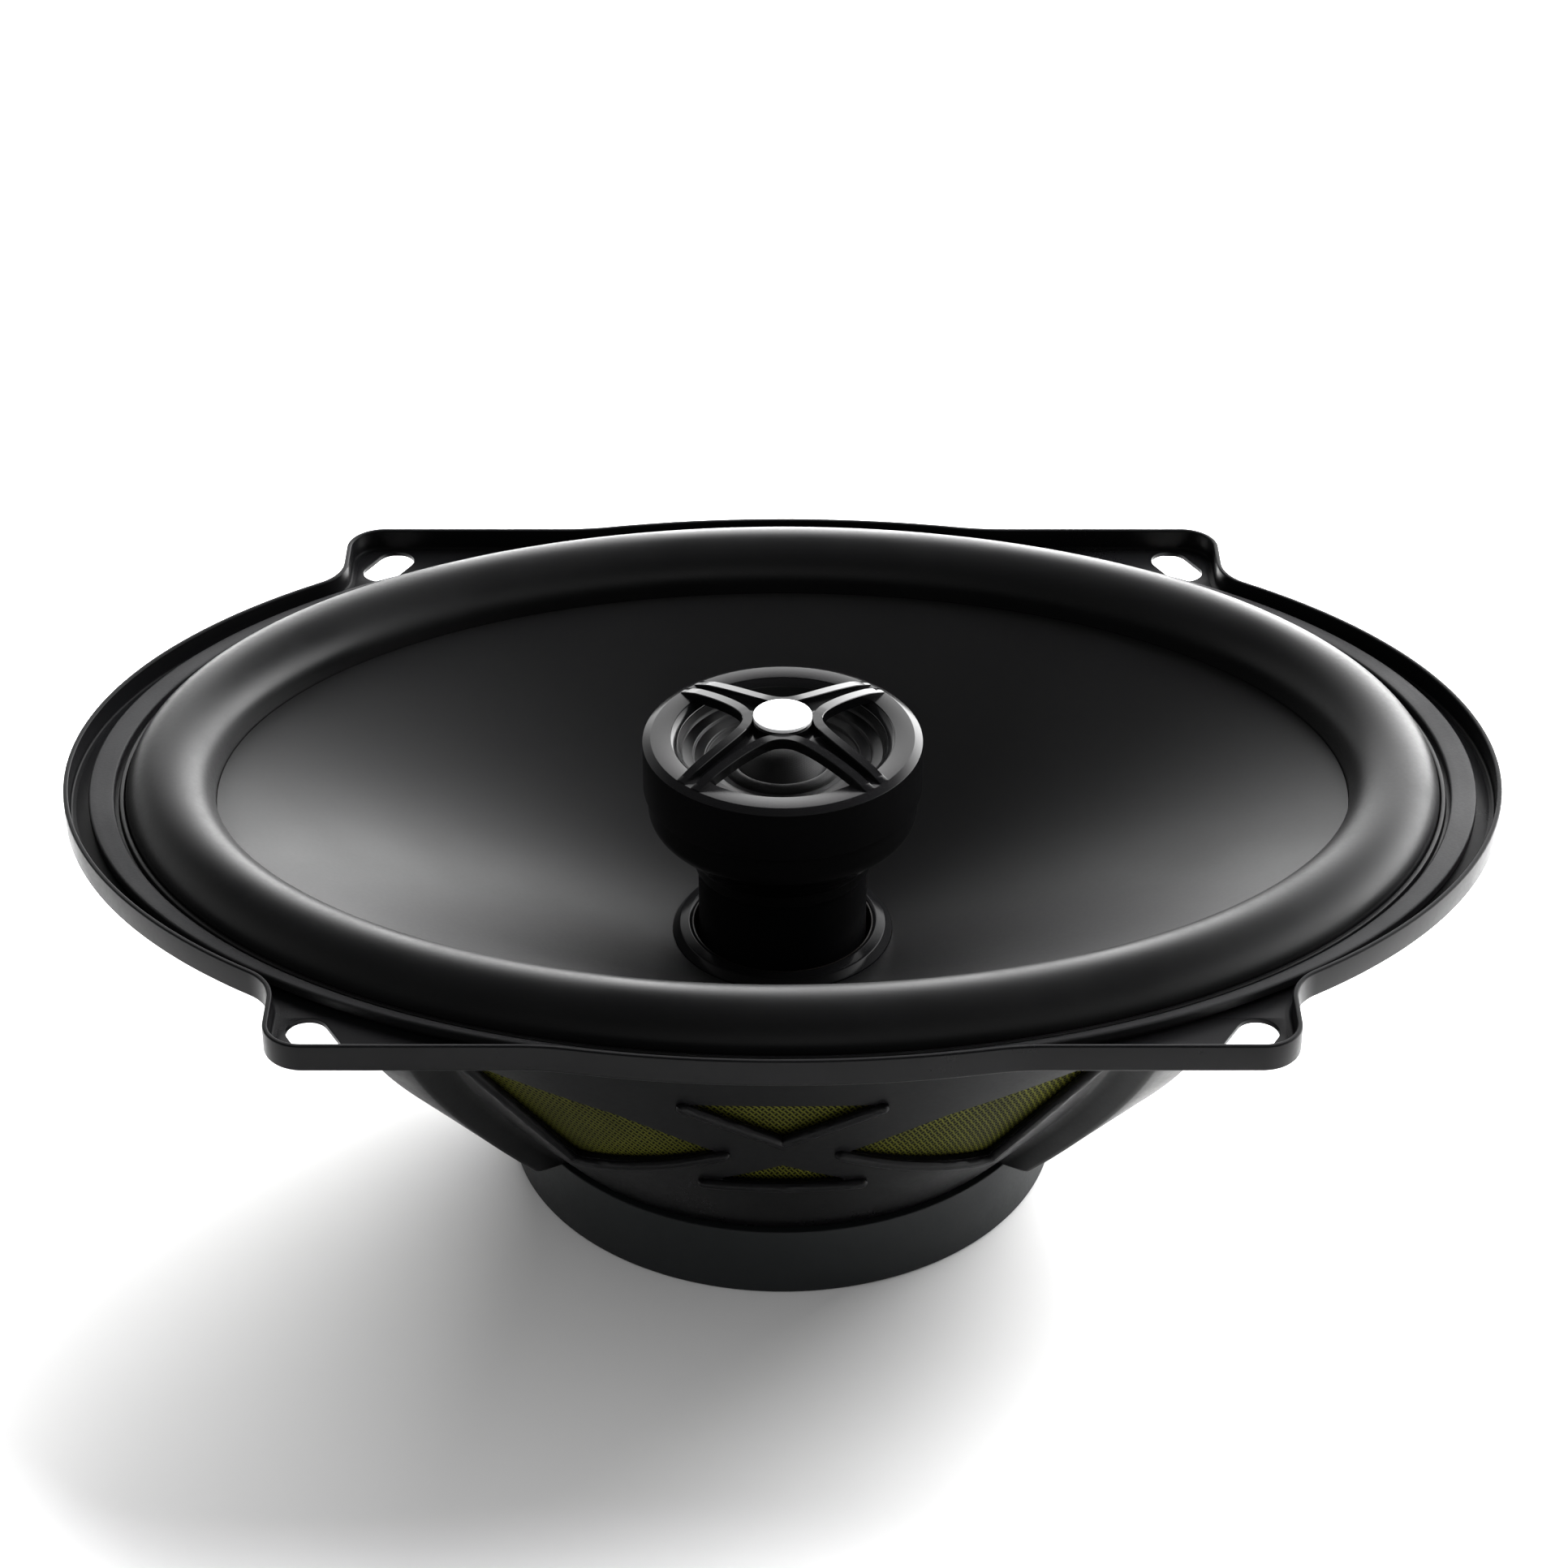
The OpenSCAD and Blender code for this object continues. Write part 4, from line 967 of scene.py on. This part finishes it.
def build_grille():
    """Four ridges that follow the openings, two to an arm, over a lower web and a round hub."""
    section = [(0, -GRILLE_T), (0, -0.1), (0.08, 0), (RIDGE - 0.08, 0), (RIDGE, -0.1), (RIDGE, -GRILLE_T)]
    shape = Shape()
    n = 48
    for quarter in range(4):
        c, s = turn(90 * quarter)
        rings = []
        for i in range(-n, n + 1):
            k = math.copysign(abs(i / n) ** 0.8, i)
            ring = []
            for inset, dz in section:
                p = opening_edge(k * edge_end(inset, GRILLE_REACH - 0.05), inset)
                ring.append((p[0] * c - p[1] * s, p[0] * s + p[1] * c, grille_height(p, dz)))
            rings.append(ring)
        shape.loft(rings, closed=False, caps=True)
    for diagonal in (45, 135):
        along, across = turn(diagonal), turn(diagonal + 90)
        rings = []
        for i in range(-60, 61):
            rho = (GRILLE_REACH - 0.3) * i / 60
            half = web_half(abs(rho))
            ring = []
            for w, dz in ((-half, -GRILLE_T), (-half, WEB_TOP), (half, WEB_TOP), (half, -GRILLE_T)):
                p = rho * along + w * across
                ring.append((*p, grille_height(p, dz)))
            rings.append(ring)
        shape.loft(rings, closed=False, caps=True)
    hub_top = BADGE_LOW[2]
    hub = rounded([(0, hub_top - 1.8), (4.1, hub_top - 1.8), (4.35, hub_top - 0.25), (4.0, hub_top - 0.01),
                   (0, hub_top - 0.01)], [0, 0.2, 0.1, 0.1, 0], 4, closed=False)
    shape.lathe(hub, 96, closed=False)
    place("tweeter_cross", shape.mesh("tweeter_cross", 28), "grille_plastic", FRAME, ["tweeter_grille"])


def web_half(rho):
    """Half width of the lower web across an arm, out to the middle of its two ridges."""
    low, high = 0.0, 12.0
    for _ in range(30):
        mid = (low + high) / 2
        x, y = rho / math.sqrt(2) + mid / math.sqrt(2), rho / math.sqrt(2) - mid / math.sqrt(2)
        if x < opening_edge(y, 0)[0] - RIDGE / 2 * math.sqrt(2):
            low = mid
        else:
            high = mid
    return max(low, 0.3)


def build_badge():
    """Plain disc on the grille's hub."""
    low, high, r = BADGE_LOW[2], BADGE_HIGH[2], BADGE_HIGH[0]
    profile = rounded([(0, low), (r, low), (r, high - 0.05), (r - 0.3, high), (0, high)],
                      [0, 0.05, 0.15, 0.2, 0], 4, closed=False)
    place_turned("badge_disc", "badge", "badge_metal", profile, 96, closed=False)


def build_waveguide():
    """Horn ring: a slanting rim, then three rounded steps down to the dome's ledge."""
    cup_top = low_high("tweeter_waveguide")[0][2]
    points = [(7.4, cup_top), (17.5, cup_top), (17.5, 7.1), (15.94, 7.1), (15.94, 8.56), (14.85, 7.75),
              (14.6, 6.85)]
    radii = [0.1, 0.1, 0.1, 0, 0.04, 0.6, 0.1]
    for i in range(3):
        points += [(14.5 - 1.7 * i, 6.5 - 0.65 * i), (14.3 - 1.7 * i, 6.1 - 0.65 * i)]
        radii += [0.25, 0.12]
    points += [(9.7, 4.5), (9.7, LEDGE_Z), (7.4, LEDGE_Z)]
    radii += [0.2, 0.1, 0.2]
    place_turned("horn_ring", "tweeter_waveguide", "grille_plastic", rounded(points, radii, 4), 200, 30)


def build_dome():
    """Thin spherical cap."""
    skin = 0.25
    ball = (DOME_R ** 2 + DOME_H ** 2) / (2 * DOME_H)
    spread = math.asin(DOME_R / ball)
    centre = DOME_Z + DOME_H - ball
    n = 32
    outer = [(ball * math.sin(w), centre + ball * math.cos(w)) for w in np.linspace(0, spread, n + 1)]
    inner = [((ball - skin) * math.sin(w), centre + (ball - skin) * math.cos(w))
             for w in np.linspace(spread, 0, n + 1)]
    outer[0], inner[-1] = (0, outer[0][1]), (0, inner[-1][1])
    place_turned("soft_dome", "tweeter_dome", "dome_silk", outer + inner, 128, body=DOME, closed=False)


def build_small_roll():
    """The dome's half roll, between the frame and the dome, on neither body."""
    base, skin, mid, roll, n = LEDGE_Z + 0.1, 0.2, 7.65, 1.0, 20
    over = [(mid + roll * math.cos(w), base + skin + roll * math.sin(w))
            for w in np.linspace(math.pi, 0, n + 1)]
    under = [(mid + (roll - skin) * math.cos(w), base + (roll - skin / 2) * math.sin(w))
             for w in np.linspace(0, math.pi, n + 1)]
    profile = [(DOME_R + 0.02, base), (DOME_R + 0.02, base + skin)] + over
    profile += [(9.5, base + skin), (9.5, base)] + under
    obj = place_turned("small_roll", "tweeter_surround", "dome_silk", profile, 128, 50, body=None)
    set_blend(obj)


# ---------- Pieces that keep their CAD mesh ----------

def finish_cad_nodes():
    """Gives each CAD node that still shows its slot's material, and softens its edges."""
    slots = {s["node"]: s["material_slot"] for s in frame["record"]["subparts"]}
    for name, obj in frame["nodes"].items():
        if obj.hide_render:
            continue
        obj.data.materials.clear()
        obj.data.materials.append(MATERIALS[slots[name]])
        obj.data.polygons.foreach_set("use_smooth", [False] * len(obj.data.polygons))
        if name in ("terminal_board", "terminal_positive", "terminal_negative", "spider_ring"):
            bevel = obj.modifiers.new("edges", "BEVEL")
            bevel.width, bevel.segments, bevel.limit_method = 0.12 * MM, 2, "ANGLE"
            bevel.angle_limit = math.radians(40)
        else:
            obj.data.polygons.foreach_set("use_smooth", [True] * len(obj.data.polygons))
            obj.data.set_sharp_from_angle(angle=math.radians(30))


def build_lead(name, node, slot, side, tail):
    """Insulated wire from a blade's foot to the tweeter."""
    start = [on_board((x, side * y, z)) for x, y, z in
             [(4.2, 5, 4.4), (6.5, 4.4, 4.3), (9, 3.6, 3.8), (11, 2.9, 2.4), (13, 2.4, 1.4), (18, 1.8, 1),
              (24, 1.5, 1), (29, 1.4, 1)]]
    middle = [(x, side * y, z) for x, y, z in
              [(42.2, 1.3, -48.6), (41.3, 1.2, -50.2), (40, 1.2, -50.7), (39.24, 1.2, -52),
               (39.24, 1.2, -56), (38.5, 1.2, -57.9), (37, 1.2, -58.7), (28, 1.2, -58.7),
               (18, 1.2, -58.7), (9, 1.2, -58.7), (7.2, 1.2, -58.2), (6.6, 1.2, -56.8),
               (6.6, 1.2, -46), (6.6, 1.2, -36)]]
    path = smooth_line(start + middle + tail, 3)
    place(name, Shape().tube(path, 0.58, 12).mesh(name), slot, FRAME, [node])


# ---------- Studio ----------

WALL_LEVEL, WALL_FRONT, OVERHEAD, AMBIENT = 5.2, 0.05, 0.05, 0.66
PANEL, KEY = 0.6, 20.6
CAMERA_TARGET, CAMERA_DISTANCE, CAMERA_ELEVATION, CAMERA_LENS = (0.2, 0, 0.43), 591.4, 32.93, 94.85


def build_floor():
    """Pale floor that the speaker stands on."""
    z = low_high("magnet_cover")[0][2]
    size = 6000.0
    outline = [(-size, -size), (size, -size), (size, size), (-size, size)]
    mesh = bpy.data.meshes.new("studio_floor")
    mesh.from_pydata([(x * MM, y * MM, z * MM) for x, y in outline], [], [(0, 1, 2, 3)])
    floor = bpy.data.objects.new("studio_floor", mesh)
    PARTS.objects.link(floor)
    surface("studio_paint", (0.86, 0.86, 0.86), 0.9, spec=0.1, grain=200, vary=0.01, grain_force=0.02)
    mesh.materials.append(MATERIALS["studio_paint"])


def build_world():
    """Studio surroundings: white walls low at the back and sides, darker in front and overhead."""
    world = bpy.data.worlds.new("studio")
    bpy.context.scene.world = world
    t = Tree(world)
    x, y, z = t.split("Generated")
    back = t.span(y, WALL_FRONT, 1.0, -0.5, 0.35)
    wall = t.span(z, WALL_LEVEL, 0.0, 0.3, 0.68)
    lean = t.span(x, 0.12, 1.35, -0.5, 0.2)
    floor = t.span(z, 0.75, 1.0, -0.7, -0.1)
    level = t.math("MULTIPLY", t.math("MULTIPLY", back, wall), t.math("MULTIPLY", lean, floor))
    seen = t.nodes.new("ShaderNodeLightPath").outputs["Is Glossy Ray"]
    strength = t.nodes.new("ShaderNodeMix")
    t.feed(strength.inputs["Factor"], seen)
    t.feed(strength.inputs["A"], AMBIENT)
    t.feed(strength.inputs["B"], t.math("ADD", level, OVERHEAD))
    t.links.new(strength.outputs[0], t.nodes["Background"].inputs["Strength"])
    t.nodes["Background"].inputs["Color"].default_value = (1, 1, 1, 1)


def add_softbox(name, centre, size, strength):
    """Panel that faces straight down; its power follows from the strength and its area."""
    light = bpy.data.lights.new(name, "AREA")
    light.shape, light.size, light.size_y = "ELLIPSE", size[0], size[1]
    light.energy = strength * math.pi ** 2 * size[0] * size[1] / 4
    obj = bpy.data.objects.new(name, light)
    obj.location = centre
    obj.visible_glossy = False
    PARTS.objects.link(obj)


def build_camera():
    """Camera in front of the speaker, looking down at it."""
    up = math.radians(CAMERA_ELEVATION)
    data = bpy.data.cameras.new("camera")
    data.lens, data.sensor_width, data.clip_start, data.clip_end = CAMERA_LENS, 36, 0.01, 50
    camera = bpy.data.objects.new("camera", data)
    away = Vector((0, -math.cos(up), math.sin(up))) * CAMERA_DISTANCE
    camera.location = (Vector(CAMERA_TARGET) + away) * MM
    camera.rotation_euler = (math.pi / 2 - up, 0, 0)
    PARTS.objects.link(camera)
    bpy.context.scene.camera = camera


build_camera()
build_floor()
build_world()
add_softbox("key", (0.93 * PANEL, 2.27 * PANEL, PANEL - 0.06), (3.1 * PANEL, 4.38 * PANEL), KEY)
bpy.context.scene.view_settings.view_transform = "Standard"

build_basket()
build_rivets()
build_gasket()
build_screen()
build_surround()
build_cone()
build_collar()
build_spider()
build_tinsel("braided_lead_positive", "tinsel_lead_positive", 1)
build_tinsel("braided_lead_negative", "tinsel_lead_negative", -1)
build_cover()
build_post()
build_housing()
build_bezel()
build_grille()
build_badge()
build_waveguide()
build_dome()
build_small_roll()
build_lead("red_wire", "tweeter_lead_positive", "wire_red", 1,
           [(6.2, 1.2, -33.5), (4.6, 1, -31.4), (2.6, 0.6, -30.4), (1.1, 0.2, -30.2)])
build_lead("black_wire", "tweeter_lead_negative", "wire_black", -1,
           [(7.2, -1.2, -30), (7.2, -1.2, -20), (7, -1.2, -12), (5.4, -1.2, -8.9), (3, -1.1, -7.4),
            (1.9, -1, -6.2), (1.8, -1, -4.9)])
finish_cad_nodes()
